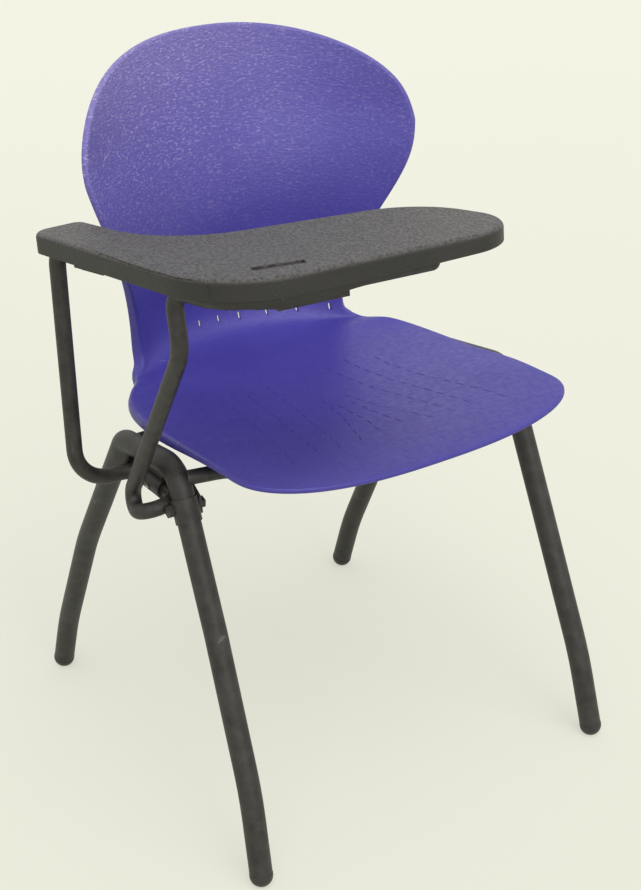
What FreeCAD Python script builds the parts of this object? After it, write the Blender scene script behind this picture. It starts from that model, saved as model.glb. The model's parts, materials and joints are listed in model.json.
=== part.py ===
import FreeCAD, Part
import Sketcher
import math
import os

Vector = FreeCAD.Vector
Placement = FreeCAD.Placement
Rotation = FreeCAD.Rotation
UP = Vector(0, 0, 1)
SIDEWAYS = Vector(1, 0, 0)

os.makedirs("parts", exist_ok=True)
doc = FreeCAD.newDocument("TabletArmChair")

# Driving dimensions in millimetres and degrees.
# Chair coordinates: the sitter faces -Y, the middle of the chair is X = 0, the floor is Z = 0.
# The writing tablet is at the sitter's right hand, on the -X side.
sheet = doc.addObject("Spreadsheet::Sheet", "Sizes")
sheet_rows = []


def put(name, value):
    """Write one driving dimension into the sheet under its own word."""
    row = len(sheet_rows) + 1
    sheet.set("A%d" % row, name)
    sheet.set("B%d" % row, str(value))
    sheet.setAlias("B%d" % row, name)
    sheet_rows.append(name)


def size(name):
    """Read a driving dimension back from the sheet."""
    return float(sheet.get(name))


# The whole chair
put("chair_shift_x", 28.58)
put("chair_shift_y", -51.44)

# Tube sizes
put("frame_tube", 25.0)
put("frame_wall", 1.5)
put("cross_tube", 16.0)
put("cross_wall", 1.5)
put("rod_tube", 17.0)
put("rod_wall", 1.5)

# Side frame: an inverted U, seen from the side, with feet that splay
LEG_PLACES = [
    # from the rear foot over the top to the front foot: x, y, height
    ("rear_foot", 216.5, 330.0, 0.0),
    ("rear_shin", 216.0, 301.0, 80.0),
    ("rear_knee", 216.0, 224.0, 231.0),
    ("rear_shoulder", 216.0, 106.0, 410.0),
    ("front_shoulder", 218.0, -12.0, 427.0),
    ("front_knee", 222.0, -84.0, 262.0),
    ("front_shin", 228.0, -151.0, 100.0),
    ("front_foot", 233.0, -176.0, 0.0),
]
for place_word, x, y, height in LEG_PLACES:
    put(place_word + "_x", x)
    put(place_word + "_y", y)
    put(place_word + "_height", height)
put("front_shoulder_bend", 34.0)
put("rear_shoulder_bend", 20.0)
put("leg_end_height", 13.0)
put("leg_bow_bend", 400.0)

# Foot caps
put("cap_diameter", 25.6)
put("cap_stem_length", 18.0)
put("cap_centre_height", 11.0)
put("slip_fit", 0.05)

# How far cutting tools reach past what they cut
put("cut_margin", 1.0)
put("drill_reach", 30.0)

# Cross tubes under the seat
put("cross_reach", 212.0)
put("front_cross_height", 416.0)
put("front_cross_end_y", -21.0)
put("front_cross_knee_x", 168.0)
put("front_cross_knee_y", -31.0)
put("front_cross_middle_x", 125.0)
put("front_cross_middle_y", -66.0)
put("front_cross_bend", 60.0)
put("rear_cross_height", 408.0)
put("rear_cross_y", 100.0)

# Seat fixings
put("fixing_x", 95.0)
put("mount_plate_length", 46.0)
put("mount_plate_width", 30.0)
put("mount_plate_thickness", 3.0)
put("mount_plate_sink", 1.0)
put("mount_plate_round", 6.0)
put("seat_screw_step", 15.0)
put("seat_screw_length", 10.5)
put("seat_screw_thread", 6.0)
put("seat_screw_head", 12.0)
put("seat_screw_head_height", 4.0)
put("seat_washer_diameter", 15.0)
put("seat_washer_thickness", 1.2)
put("boss_diameter", 16.0)
put("boss_reach", 60.0)
put("pilot_depth", 9.5)

# Hinge of the tablet
put("hinge_x", -214.5)
put("hinge_height", 385.8)
put("hinge_rear_y", 82.5)
put("hinge_front_y", -8.0)
put("sleeve_front_y", 20.0)
put("sleeve_rear_y", 56.0)
put("sleeve_diameter", 23.0)
put("bush_diameter", 20.0)
put("bush_flange", 1.5)
put("bush_length", 12.0)
put("running_fit", 0.05)
put("stop_pin_diameter", 4.0)
put("stop_angle", 110.0)
put("stop_gap", 0.15)
put("stop_slot_play", 0.3)
put("stop_pin_proud", 2.0)

# Bracket that carries the hinge sleeve: two plates, each with its outline as y and height
WEB_OUTLINE = [(22, 386), (54, 386), (62, 397), (100, 397), (104, 412), (22, 424)]
SIDE_PLATE_OUTLINE = [
    (-34, 378), (-17, 378), (8, 396), (84, 396), (118, 372), (130, 374), (112, 404),
    (-10, 410), (-32, 396),
]
put("bracket_gap", 1.0)
put("bracket_thickness", 3.0)
put("bracket_web_thickness", 5.0)
put("bracket_bolt", 6.0)
put("bracket_bolt_height", 386.0)
put("bracket_bolt_y", -25.5)
put("bolt_head_flats", 12.0)
put("bolt_head_height", 5.0)
put("bolt_head_gap", 0.3)
put("bolt_proud", 2.0)
put("clamp_thickness", 1.6)
put("clamp_length", 26.0)
put("clamp_half_depth", 4.0)

# Rod that carries the tablet
put("rod_rear_corner_x", -286.5)
put("rod_rear_corner_y", 82.5)
put("outer_low_bend", 42.0)
put("hinge_rear_bend", 24.0)
put("turn_first_bend", 17.0)
put("turn_out_x", -257.0)
put("turn_out_height", 382.8)
put("turn_second_bend", 16.6)
put("turn_low_x", -246.3)
put("turn_low_y", 50.5)
put("turn_low_height", 363.1)
put("turn_third_bend", 14.0)
put("inner_knee_x", -261.0)
put("inner_knee_y", -116.3)
put("inner_knee_height", 602.3)
put("inner_knee_bend", 45.0)
put("inner_top_x", -261.0)
put("inner_top_y", -106.2)
put("rod_top_bend", 20.0)
put("rod_corner_bend", 50.0)
put("rod_below_top", 23.0)
put("rod_rear_below_top", 16.0)
put("rod_front_corner_x", -249.0)
put("rod_front_corner_y", -186.0)
put("rod_front_end_x", -44.0)
put("rod_front_end_y", -210.7)
put("rod_rear_end_x", -268.0)
put("rod_rear_end_y", -26.0)

# Tablet
put("tablet_height", 669.0)
put("tablet_level_y", 78.0)
put("tablet_tilt", 5.143)
put("tablet_rim", 20.0)
put("tablet_wall", 4.0)
put("tablet_skin", 6.0)
put("tablet_edge_round", 5.0)
put("rim_taper_start_x", -100.0)
put("rim_taper_end_x", 80.0)
put("rim_taper_rise", 4.2)
put("rim_taper_reach", 800.0)
put("rib_thickness", 2.4)
put("rib_depth", 7.5)
put("rib_root", 0.5)
put("boss_tablet", 10.0)
put("pen_groove_x", -191.2)
put("pen_groove_y", -178.2)
put("pen_groove_turn", 15.3)
put("pen_groove_round", 3.5)
put("pen_groove_length", 51.0)
put("pen_groove_width", 12.0)
put("pen_groove_depth", 2.2)
put("saddle_thickness", 3.0)
put("saddle_front_length", 72.0)
put("saddle_front_part", 0.38)
put("saddle_rear_length", 34.0)
put("saddle_rear_thickness", 2.0)
put("saddle_rear_part", 0.66)
put("saddle_flange", 13.0)
put("saddle_lip", 8.5)
put("saddle_screw_inset", 10.0)
put("flange_screw_offset", 1.0)
put("tablet_screw", 4.0)
put("tablet_screw_length", 14.0)
put("tablet_screw_head", 8.5)
put("tablet_screw_head_height", 2.2)
put("plug_length", 11.0)

# Seat shell
put("shell_thickness", 4.0)
put("shell_dish_power", 2.2)
put("shell_top_centre", 680.0)
put("shell_top_half_width", 216.0)
put("shell_top_rise", 114.0)
put("shell_top_power", 2.26)
put("shell_front_y", -178.25)
put("shell_front_start_y", -99.0)
put("shell_front_half_width", 207.0)
put("shell_front_power", 2.83)
put("slot_width", 3.0)
put("slot_height", 9.0)
put("slot_cut_start_y", 190.0)
put("slot_cut_length", 120.0)

# Stations along the middle of the seat shell, from the front lip to the top of the back.
# Each has the middle line (y, z), half the width, how far the edges come forward and up from
# the middle line, and how deep the rolled edge is.
SHELL_STATIONS = [
    # y, z, half width, forward, up, lip
    (-222, 432, 207, 0, 8, 6),
    (-187, 440, 207, 0, 8, 6),
    (-150, 443.5, 207, 0, 9, 6),
    (-99, 442, 207, 0, 10, 6.5),
    (-40, 437.5, 207.5, 0, 11.5, 8),
    (20, 432.5, 205, 0, 9.5, 11),
    (80, 430, 203, 2, 7, 12),
    (135, 429.5, 194, 3, 7, 12),
    (185, 430, 175.5, 14, 6, 12),
    (219, 432, 163, 27, 4, 12),
    (241, 439, 148, 34, 3, 13),
    (252, 456, 145, 39, 2, 13),
    (252.5, 485, 147, 42, 0, 12.5),
    (248, 520, 155, 49, 0, 11),
    (243, 560, 169, 62, 0, 9),
    (241, 605, 188.5, 80, 0, 7),
    (248, 650, 207, 96, 0, 7),
    (261, 692, 216, 101.5, 0, 7),
    (270.5, 730, 216, 106, 0, 7),
    (278, 768, 216, 110, 0, 7),
    (284, 806, 216, 114, 0, 7),
]
STATION_WORDS = ("middle_y", "middle_z", "half_width", "forward", "up", "lip")
for number, station in enumerate(SHELL_STATIONS, 1):
    for word, value in zip(STATION_WORDS, station):
        put("shell_%s_%02d" % (word, number), value)

# Small upright slots in the lower back: across, and height of the middle of each
SLOT_PLACES = [
    (-60, 452), (-35, 453), (-8, 452), (20, 450), (55, 449), (90, 449), (125, 449),
]

# Corners of the tablet seen from above, as x, y and corner radius
TABLET_CORNERS = [
    ("rear_outer", -304.5, 107, 18),
    ("front_outer", -270, -205, 102),
    ("front_right", 65.4, -242.1, 50.8),
    ("back_right", 27.8, -93.9, 97.7),
    ("elbow", -225, -31, 120),
    ("rear_inner", -246, 107, 13),
]
for corner, x, y, radius in TABLET_CORNERS:
    put("tablet_%s_x" % corner, x)
    put("tablet_%s_y" % corner, y)
    put("tablet_%s_round" % corner, radius)

doc.recompute()

CHAIR = Placement(Vector(size("chair_shift_x"), size("chair_shift_y"), 0), Rotation())
sub_parts = []


def keep(thing, label, place=None):
    """Name a finished sub-part and put it in its place."""
    thing.Label = label
    thing.Placement = CHAIR.multiply(place) if place else CHAIR
    sub_parts.append(thing)
    return thing


# Helpers for bodies and sketches

def new_body(name):
    return doc.addObject("PartDesign::Body", name)


def new_sketch(body, role, name, lift=0.0):
    """Make a sketch on one of the body's own origin planes."""
    sketch = body.newObject("Sketcher::SketchObject", name)
    for feature in body.Origin.OriginFeatures:
        if feature.Role == role:
            sketch.AttachmentSupport = [(feature, "")]
    sketch.MapMode = "FlatFace"
    sketch.AttachmentOffset = Placement(Vector(0, 0, lift), Rotation())
    return sketch


def bind(thing, prop, formula):
    thing.setExpression(prop, formula)


def polygon(sketch, points):
    """Add a closed line through the points, joined corner to corner."""
    count = len(points)
    first = sketch.GeometryCount
    for i in range(count):
        start = Vector(points[i][0], points[i][1], 0)
        end = Vector(points[(i + 1) % count][0], points[(i + 1) % count][1], 0)
        sketch.addGeometry(Part.LineSegment(start, end), False)
    for i in range(count):
        following = first + (i + 1) % count
        sketch.addConstraint(Sketcher.Constraint("Coincident", first + i, 2, following, 1))


def circle(sketch, x, y, formula):
    """Add a circle whose radius follows a formula of the sheet."""
    index = sketch.addGeometry(Part.Circle(Vector(x, y, 0), UP, 1.0), False)
    if abs(x) < 1e-9 and abs(y) < 1e-9:
        sketch.addConstraint(Sketcher.Constraint("Coincident", index, 3, -1, 1))
    else:
        sketch.addConstraint(Sketcher.Constraint("DistanceX", -1, 1, index, 3, x))
        sketch.addConstraint(Sketcher.Constraint("DistanceY", -1, 1, index, 3, y))
    radius = sketch.addConstraint(Sketcher.Constraint("Radius", index, 1.0))
    bind(sketch, "Constraints[%d]" % radius, formula)


def pad(body, sketch, name, formula, back=False):
    feature = body.newObject("PartDesign::Pad", name)
    feature.Profile = sketch
    bind(feature, "Length", formula)
    feature.Reversed = back
    return feature


def pocket(body, sketch, name, formula, back=False):
    feature = body.newObject("PartDesign::Pocket", name)
    feature.Profile = sketch
    bind(feature, "Length", formula)
    feature.Reversed = back
    return feature


def corner_tangents(corners):
    """Tangent points and arc middle of every rounded corner of a closed outline."""
    result = []
    count = len(corners)
    for i in range(count):
        here = Vector(corners[i][0], corners[i][1], 0)
        before = Vector(corners[i - 1][0], corners[i - 1][1], 0) - here
        after = Vector(corners[(i + 1) % count][0], corners[(i + 1) % count][1], 0) - here
        before.normalize()
        after.normalize()
        half = before.getAngle(after) / 2
        reach = corners[i][2] / math.tan(half)
        bisector = before + after
        bisector.normalize()
        middle = here + bisector * (corners[i][2] / math.sin(half) - corners[i][2])
        result.append((here + before * reach, middle, here + after * reach))
    return result


def rounded_outline(sketch, corners):
    """Draw a closed outline of straight runs and tangent arcs."""
    arcs = corner_tangents(corners)
    count = len(arcs)
    edges = []
    for i in range(count):
        start, middle, end = arcs[i]
        edges.append(Part.Arc(start, middle, end))
        edges.append(Part.LineSegment(end, arcs[(i + 1) % count][0]))
    sketch.addGeometry(edges, False)
    total = len(edges)
    for i in range(total):
        first_end = 2 if i % 2 else arc_end(sketch, i, edges[i])
        following = (i + 1) % total
        next_start = 1 if following % 2 else 3 - arc_end(sketch, following, edges[following])
        sketch.addConstraint(Sketcher.Constraint("Coincident", i, first_end, following, next_start))


def arc_end(sketch, index, arc):
    """Which end of the drawn arc is the one that the outline leaves by."""
    wanted = arc.EndPoint
    second = sketch.getPoint(index, 2)
    return 2 if second.distanceToPoint(wanted) < 1e-6 else 1


def moved_inside(corners, gap):
    """The same outline, a wall thickness further in."""
    count = len(corners)
    area = 0.0
    for i in range(count):
        following = corners[(i + 1) % count]
        area += corners[i][0] * following[1] - following[0] * corners[i][1]
    inward = 1.0 if area > 0 else -1.0
    lines = []
    for i in range(count):
        start = Vector(corners[i][0], corners[i][1], 0)
        run = Vector(corners[(i + 1) % count][0], corners[(i + 1) % count][1], 0) - start
        run.normalize()
        normal = Vector(-run.y, run.x, 0) * inward
        lines.append((start + normal * gap, run))
    result = []
    for i in range(count):
        (p, u), (q, v) = lines[i - 1], lines[i]
        along = ((q - p).cross(v)).z / (u.cross(v)).z
        point = p + u * along
        turns_in = (u.cross(v)).z * inward > 0
        radius = corners[i][2] - gap if turns_in else corners[i][2] + gap
        result.append((point.x, point.y, radius))
    return result


# Helpers for bent tubes

def bent_wire(points, radii):
    """Straight runs joined by tangent arcs through a list of points."""
    edges = []
    start = points[0]
    for i in range(1, len(points) - 1):
        back = points[i - 1] - points[i]
        ahead = points[i + 1] - points[i]
        back.normalize()
        ahead.normalize()
        half = back.getAngle(ahead) / 2
        reach = radii[i - 1] / math.tan(half)
        bisector = back + ahead
        bisector.normalize()
        middle = points[i] + bisector * (radii[i - 1] / math.sin(half) - radii[i - 1])
        enter = points[i] + back * reach
        leave = points[i] + ahead * reach
        edges.append(Part.LineSegment(start, enter).toShape())
        edges.append(Part.Arc(enter, middle, leave).toShape())
        start = leave
    edges.append(Part.LineSegment(start, points[-1]).toShape())
    return Part.Wire(edges)


def bent_path(name, points, radii):
    path = doc.addObject("Part::Feature", name)
    path.Shape = bent_wire(points, radii)
    return path


def swept_round(name, path, points, formula):
    """A round bar along a path, its radius taken from the sheet."""
    ring = doc.addObject("Part::Circle", name + "_section")
    bind(ring, "Radius", formula)
    ring.Placement = Placement(points[0], Rotation(UP, points[1] - points[0]))
    sweep = doc.addObject("Part::Sweep", name)
    sweep.Sections = [ring]
    sweep.Spine = (path, ["Edge%d" % (i + 1) for i in range(len(path.Shape.Edges))])
    sweep.Solid = True
    sweep.Frenet = False
    return sweep


def cut(name, base, tool):
    result = doc.addObject("Part::Cut", name)
    result.Base = base
    result.Tool = tool
    return result


def fuse(name, base, tool):
    result = doc.addObject("Part::Fuse", name)
    result.Base = base
    result.Tool = tool
    return result


def cylinder(name, radius_formula, height_formula, place):
    solid = doc.addObject("Part::Cylinder", name)
    bind(solid, "Radius", radius_formula)
    bind(solid, "Height", height_formula)
    solid.Placement = place
    return solid


def box(name, corner, length, width, height):
    solid = doc.addObject("Part::Box", name)
    solid.Length = length
    solid.Width = width
    solid.Height = height
    solid.Placement = Placement(corner, Rotation())
    return solid


def hollow_tube(name, points, radii, outer, wall):
    """A bent tube: the outer bar less the bore."""
    path = bent_path(name + "_path", points, radii)
    bar = swept_round(name + "_bar", path, points, "Sizes.%s / 2" % outer)
    bore = swept_round(name + "_bore", path, points, "Sizes.%s / 2 - Sizes.%s" % (outer, wall))
    return bar, cut(name + "_tube", bar, bore), path


# Side frames

def leg_points(side):
    """The bends of one side frame, from the rear foot over the top to the front foot."""
    return [
        Vector(side * size(word + "_x"), size(word + "_y"), size(word + "_height"))
        for word, _, _, _ in LEG_PLACES
    ]


def trimmed_end(end, following, height):
    """Shorten a run so that it stops at a height above the floor."""
    run = following - end
    return end + run * (height / run.z)


def side_frame(label, side):
    points = leg_points(side)
    end = size("leg_end_height")
    points[0] = trimmed_end(points[0], points[1], end)
    points[-1] = trimmed_end(points[-1], points[-2], end)
    bow = size("leg_bow_bend")
    radii = [bow, bow, size("rear_shoulder_bend"), size("front_shoulder_bend"), bow, bow]
    return hollow_tube(label, points, radii, "frame_tube", "frame_wall")


right_bar, right_tube, _ = side_frame("right_side", -1)
left_bar, left_tube, _ = side_frame("left_side", 1)
keep(left_tube, "left_side_frame")

# One bolt goes through the right front leg and the bracket of the tablet's hinge.
ACROSS = Rotation(UP, SIDEWAYS)
inner_x = -size("front_shoulder_x") + size("frame_tube") / 2
bolt_spot = Vector(inner_x, size("bracket_bolt_y"), size("bracket_bolt_height"))
bolt_hole = cylinder(
    "bracket_bolt_hole", "Sizes.bracket_bolt / 2 + Sizes.slip_fit", "Sizes.frame_tube * 4",
    Placement(bolt_spot - SIDEWAYS * (size("frame_tube") * 2), ACROSS)
)
keep(cut("right_side_drilled", right_tube, bolt_hole), "right_side_frame")


# Foot caps: a plug in the open end of each leg, its domed head cut flat where it stands

def foot_cap(label, foot, above):
    axis = above - foot
    axis.normalize()
    turn = Rotation(UP, axis)
    centre = trimmed_end(foot, above, size("cap_centre_height"))
    head_length = (trimmed_end(foot, above, size("leg_end_height")) - centre).Length
    dome = doc.addObject("Part::Sphere", label + "_dome")
    bind(dome, "Radius", "Sizes.cap_diameter / 2")
    dome.Angle2 = 0
    dome.Placement = Placement(centre, turn)
    head = cylinder(
        label + "_head", "Sizes.cap_diameter / 2", "%f" % head_length, Placement(centre, turn)
    )
    stem = cylinder(
        label + "_stem",
        "Sizes.frame_tube / 2 - Sizes.frame_wall - Sizes.slip_fit",
        "Sizes.cap_stem_length",
        Placement(centre, turn),
    )
    whole = fuse(label + "_plug", fuse(label + "_blank", dome, head), stem)
    side = 2 * size("drill_reach")
    below = box(label + "_floor", foot - Vector(side / 2, side / 2, side), side, side, side)
    return keep(cut(label + "_shape", whole, below), label)


for side, word in ((-1, "right"), (1, "left")):
    points = leg_points(side)
    foot_cap(word + "_rear_foot_cap", points[0], points[1])
    foot_cap(word + "_front_foot_cap", points[-1], points[-2])


# Cross tubes, fish-mouthed to the side frames

def cross_tube(label, points, radii):
    bar, tube, _ = hollow_tube(label, points, radii, "cross_tube", "cross_wall")
    coped = cut(label + "_coped_right", tube, right_bar)
    return bar, keep(cut(label + "_coped", coped, left_bar), label)


def mirrored_run(half):
    """A path that is the same on both sides of the middle."""
    other = [Vector(-p.x, p.y, p.z) for p in reversed(half)]
    return half + other


cross_z = size("front_cross_height")
front_half = [
    Vector(-size("cross_reach"), size("front_cross_end_y"), cross_z),
    Vector(-size("front_cross_knee_x"), size("front_cross_knee_y"), cross_z),
    Vector(-size("front_cross_middle_x"), size("front_cross_middle_y"), cross_z),
]
front_cross_bar, front_cross_tube = cross_tube(
    "front_cross_tube", mirrored_run(front_half), [size("front_cross_bend")] * 4
)
rear_end = Vector(-size("cross_reach"), size("rear_cross_y"), size("rear_cross_height"))
rear_cross_bar, rear_cross_tube = cross_tube("rear_cross_tube", mirrored_run([rear_end]), [])


# Plates on the cross tubes that the seat is screwed to

def plate_top(height_name):
    """Top face of the plates that sit on a cross tube."""
    rise = size("cross_tube") / 2 + size("mount_plate_thickness") - size("mount_plate_sink")
    return size(height_name) + rise


# The screw passes beside the cross tube, in front of it.
SCREW_STEP = size("seat_screw_step")
FIXINGS = []
for side, word in ((-1, "right"), (1, "left")):
    across = side * size("fixing_x")
    FIXINGS.append((
        word + "_front", across, size("front_cross_middle_y"),
        plate_top("front_cross_height"), front_cross_bar,
    ))
    FIXINGS.append((
        word + "_rear", across, size("rear_cross_y"),
        plate_top("rear_cross_height"), rear_cross_bar,
    ))


def mount_plate(label, x, y, top, bar):
    blank = doc.addObject("Part::Box", label + "_blank")
    bind(blank, "Length", "Sizes.mount_plate_width")
    bind(blank, "Width", "Sizes.mount_plate_length")
    bind(blank, "Height", "Sizes.mount_plate_thickness")
    corner = Vector(x - size("mount_plate_width") / 2, y - size("mount_plate_length") / 2, 0)
    corner.z = top - size("mount_plate_thickness")
    blank.Placement = Placement(corner, Rotation())
    rounded = doc.addObject("Part::Fillet", label + "_rounded")
    rounded.Base = blank
    doc.recompute()
    round_ = size("mount_plate_round")
    upright = []
    for number, edge in enumerate(blank.Shape.Edges, 1):
        direction = edge.tangentAt(edge.FirstParameter)
        if abs(direction.z) > 0.9:
            upright.append((number, round_, round_))
    rounded.Edges = upright
    seated = cut(label + "_seated", rounded, bar)
    hole = cylinder(
        label + "_hole",
        "Sizes.seat_screw_thread / 2 + Sizes.slip_fit",
        "Sizes.drill_reach * 2",
        Placement(Vector(x, y - SCREW_STEP, top - size("drill_reach")), Rotation()),
    )
    return keep(cut(label + "_drilled", seated, hole), label)


for word, x, y, top, bar in FIXINGS:
    mount_plate(word + "_mount_plate", x, y, top, bar)


# Screws and washers under the four plates

def group(label, shapes):
    """Several loose pieces of one kind that share a node."""
    thing = doc.addObject("Part::Compound", label)
    thing.Links = shapes
    return keep(thing, label)


screws = []
washers = []
for word, x, y, top, bar in FIXINGS:
    under = top - size("mount_plate_thickness")
    spot = Vector(x, y - SCREW_STEP, under)
    ring = cylinder(
        word + "_washer_disc", "Sizes.seat_washer_diameter / 2", "Sizes.seat_washer_thickness",
        Placement(spot - UP * size("seat_washer_thickness"), Rotation())
    )
    ring_hole = cylinder(
        word + "_washer_hole", "Sizes.seat_screw_thread / 2 + Sizes.slip_fit",
        "Sizes.drill_reach * 2", Placement(spot - UP * size("drill_reach"), Rotation())
    )
    washers.append(cut(word + "_washer", ring, ring_hole))
    head_top = spot - UP * size("seat_washer_thickness")
    head = cylinder(
        word + "_screw_head", "Sizes.seat_screw_head / 2", "Sizes.seat_screw_head_height",
        Placement(head_top - UP * size("seat_screw_head_height"), Rotation())
    )
    shank = cylinder(
        word + "_screw_shank", "Sizes.seat_screw_thread / 2", "Sizes.seat_screw_length",
        Placement(head_top, Rotation())
    )
    screws.append(fuse(word + "_screw", head, shank))
group("seat_screws", screws)
group("seat_washers", washers)


# Hinge sleeve, its bushes and the stop

AXIS_BACK = Rotation(UP, Vector(0, 1, 0))


def on_axis(y):
    """A place on the hinge axis, looking to the rear."""
    return Placement(Vector(size("hinge_x"), y, size("hinge_height")), AXIS_BACK)


def ring_along_axis(name, outer, inner, start, length):
    disc = cylinder(name + "_disc", outer, "%f" % length, on_axis(start))
    margin = size("cut_margin")
    bore = cylinder(name + "_bore", inner, "%f" % (length + 2 * margin), on_axis(start - margin))
    return cut(name, disc, bore)


def wedge(name, radius, start, length, from_angle, to_angle):
    """A slice of a disc about the hinge axis, its angles turning from sideways to up."""
    slice_ = doc.addObject("Part::Cylinder", name)
    slice_.Radius = radius
    slice_.Height = length
    slice_.Angle = to_angle - from_angle
    flat = Rotation(SIDEWAYS, -90)
    slice_.Placement = Placement(
        Vector(size("hinge_x"), start, size("hinge_height")),
        flat.multiply(Rotation(UP, -to_angle)),
    )
    return slice_


sleeve_length = size("sleeve_rear_y") - size("sleeve_front_y")
pin_y = (size("sleeve_rear_y") + size("sleeve_front_y")) / 2
pin_radius = size("stop_pin_diameter") / 2
sleeve_ring = ring_along_axis(
    "sleeve_ring", "Sizes.sleeve_diameter / 2", "Sizes.bush_diameter / 2 + Sizes.slip_fit",
    size("sleeve_front_y"), sleeve_length
)
# The pin points outward at rest and turns down and inward with the tablet.
pin_clear = math.degrees((pin_radius + size("stop_gap")) / (size("bush_diameter") / 2))
slot_half = pin_radius + size("stop_slot_play")
stop_slot = wedge(
    "stop_slot", size("sleeve_diameter"), pin_y - slot_half, 2 * slot_half,
    180 - pin_clear, 180 + size("stop_angle") + pin_clear
)
keep(cut("sleeve_slotted", sleeve_ring, stop_slot), "hinge_sleeve")


def hinge_bush(label, flange_y, inward):
    """A flanged plastic bush pressed into one end of the sleeve."""
    length = size("bush_length")
    flange = size("bush_flange")
    body_start = flange_y if inward > 0 else flange_y - length
    flange_start = flange_y - flange if inward > 0 else flange_y
    barrel = cylinder(label + "_barrel", "Sizes.bush_diameter / 2", "Sizes.bush_length", on_axis(body_start))
    collar = cylinder(label + "_collar", "Sizes.sleeve_diameter / 2", "Sizes.bush_flange", on_axis(flange_start))
    bore = cylinder(
        label + "_bore", "Sizes.rod_tube / 2 + Sizes.running_fit", "Sizes.drill_reach * 2",
        on_axis(body_start - size("drill_reach"))
    )
    return keep(cut(label + "_shape", fuse(label + "_blank", barrel, collar), bore), label)


hinge_bush("front_hinge_bush", size("sleeve_front_y"), 1)
hinge_bush("rear_hinge_bush", size("sleeve_rear_y"), -1)


# Bracket: an upright web over the sleeve and a plate along the inside of the side frame

def yz_plate(name, points, x_from, thickness):
    """A flat plate of the given outline, seen from the side, as y and z points."""
    wire = Part.makePolygon([Vector(x_from, y, z) for y, z in points + points[:1]])
    plate = doc.addObject("Part::Feature", name)
    plate.Shape = Part.Face(wire).extrude(Vector(thickness, 0, 0))
    return plate


web_half = size("bracket_web_thickness") / 2
web = yz_plate("bracket_web", WEB_OUTLINE, size("hinge_x") - web_half, 2 * web_half)
side_plate = yz_plate(
    "bracket_side_plate",
    SIDE_PLATE_OUTLINE,
    inner_x + size("bracket_gap"),
    size("bracket_thickness"),
)
sleeve_space = cylinder(
    "sleeve_space", "Sizes.sleeve_diameter / 2", "Sizes.drill_reach * 2",
    on_axis(pin_y - size("drill_reach"))
)
web_trimmed = cut("web_trimmed", cut("web_on_sleeve", web, sleeve_space), right_bar)
keep(web_trimmed, "hinge_bracket_web")
plate_trimmed = cut("plate_trimmed", cut("plate_off_frame", side_plate, right_bar), front_cross_bar)
plate_trimmed = cut("plate_off_rear_tube", plate_trimmed, rear_cross_bar)
plate_trimmed = cut("plate_on_sleeve", plate_trimmed, sleeve_space)
keep(cut("plate_drilled", plate_trimmed, bolt_hole), "hinge_bracket_plate")

doc.recompute()


# Seat shell

# Shares of the half width at which the skin is drawn, and how far the trimming tools reach
SHELL_COLUMNS = [0.0, 0.2, 0.4, 0.58, 0.74, 0.88, 1.0]
TRIM_STEPS = 24
BEYOND = 300.0


def shell_rows():
    """Upper and under points across the shell, and the ends of its turned-down edges."""
    power = size("shell_dish_power")
    thickness = size("shell_thickness")
    upper, edge_ends, inner_ends = [], [], []
    for number in range(1, len(SHELL_STATIONS) + 1):
        y, z, half, forward, up, lip = [
            size("shell_%s_%02d" % (word, number)) for word in STATION_WORDS
        ]
        rise = math.hypot(forward, up)
        lean = Vector(0, -forward, up) * (1 / rise)
        # The outline is the end of the turned edge, so the surface itself stops short of it.
        slope = math.atan(power * rise / half)
        edge_x = half - lip * math.sin(slope)
        deep = rise + (lip * math.cos(slope) if forward > up else 0)
        slope = math.atan(power * deep / edge_x)
        outward = SIDEWAYS * math.cos(slope) + lean * math.sin(slope)
        away = SIDEWAYS * math.sin(slope) - lean * math.cos(slope)
        middle = Vector(0, y, z)
        row = [
            middle + SIDEWAYS * edge_x * part + lean * deep * part ** power
            for part in SHELL_COLUMNS
        ]
        upper.append(row)
        edge_ends.append(row[-1] + away * lip)
        inner_ends.append(row[-1] + away * lip - outward * thickness)
    return upper, edge_ends, inner_ends


def both_sides(row):
    return [Vector(-p.x, p.y, p.z) for p in row[:0:-1]] + row


def under_rows(upper):
    """The under side: a wall thickness behind the upper side, square to it."""
    thickness = size("shell_thickness")
    last = len(upper) - 1
    rows = []
    for i, row in enumerate(upper):
        under = []
        for j, point in enumerate(row):
            along = upper[min(i + 1, last)][j] - upper[max(i - 1, 0)][j]
            across = row[min(j + 1, len(row) - 1)] - row[max(j - 1, 0)]
            if j == 0:
                across = Vector(1, 0, 0)
            away = across.cross(along) * -1
            if i == 0:
                away.y = 0
            if i == last:
                away.z = 0
            away.normalize()
            drawn_in = point - across.normalize() * (thickness * SHELL_COLUMNS[j])
            under.append(drawn_in + away * thickness)
        rows.append(under)
    return rows


def face_through(rows):
    surface = Part.BSplineSurface()
    surface.interpolate(rows)
    return surface.toShape()


def spline_through(points):
    curve = Part.BSplineCurve()
    curve.interpolate(points)
    return curve.toShape()


def edge_near(face, point):
    """The edge of a face that passes through a point."""
    return min(face.Edges, key=lambda edge: edge.distToShape(Part.Vertex(point))[0])


def power_curve(half_width, rise, power, steps):
    """Points of a rounded end, from the right side over the middle to the left."""
    points = []
    for i in range(steps + 1):
        angle = math.pi * i / steps
        across = math.copysign(abs(math.cos(angle)) ** (2 / power), math.cos(angle))
        points.append((half_width * across, rise * math.sin(angle) ** (2 / power)))
    return points


def upright_prism(edges, direction):
    """A solid of the given closed outline, pushed through the whole chair."""
    return Part.Face(Part.Wire(edges)).extrude(direction)


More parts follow.
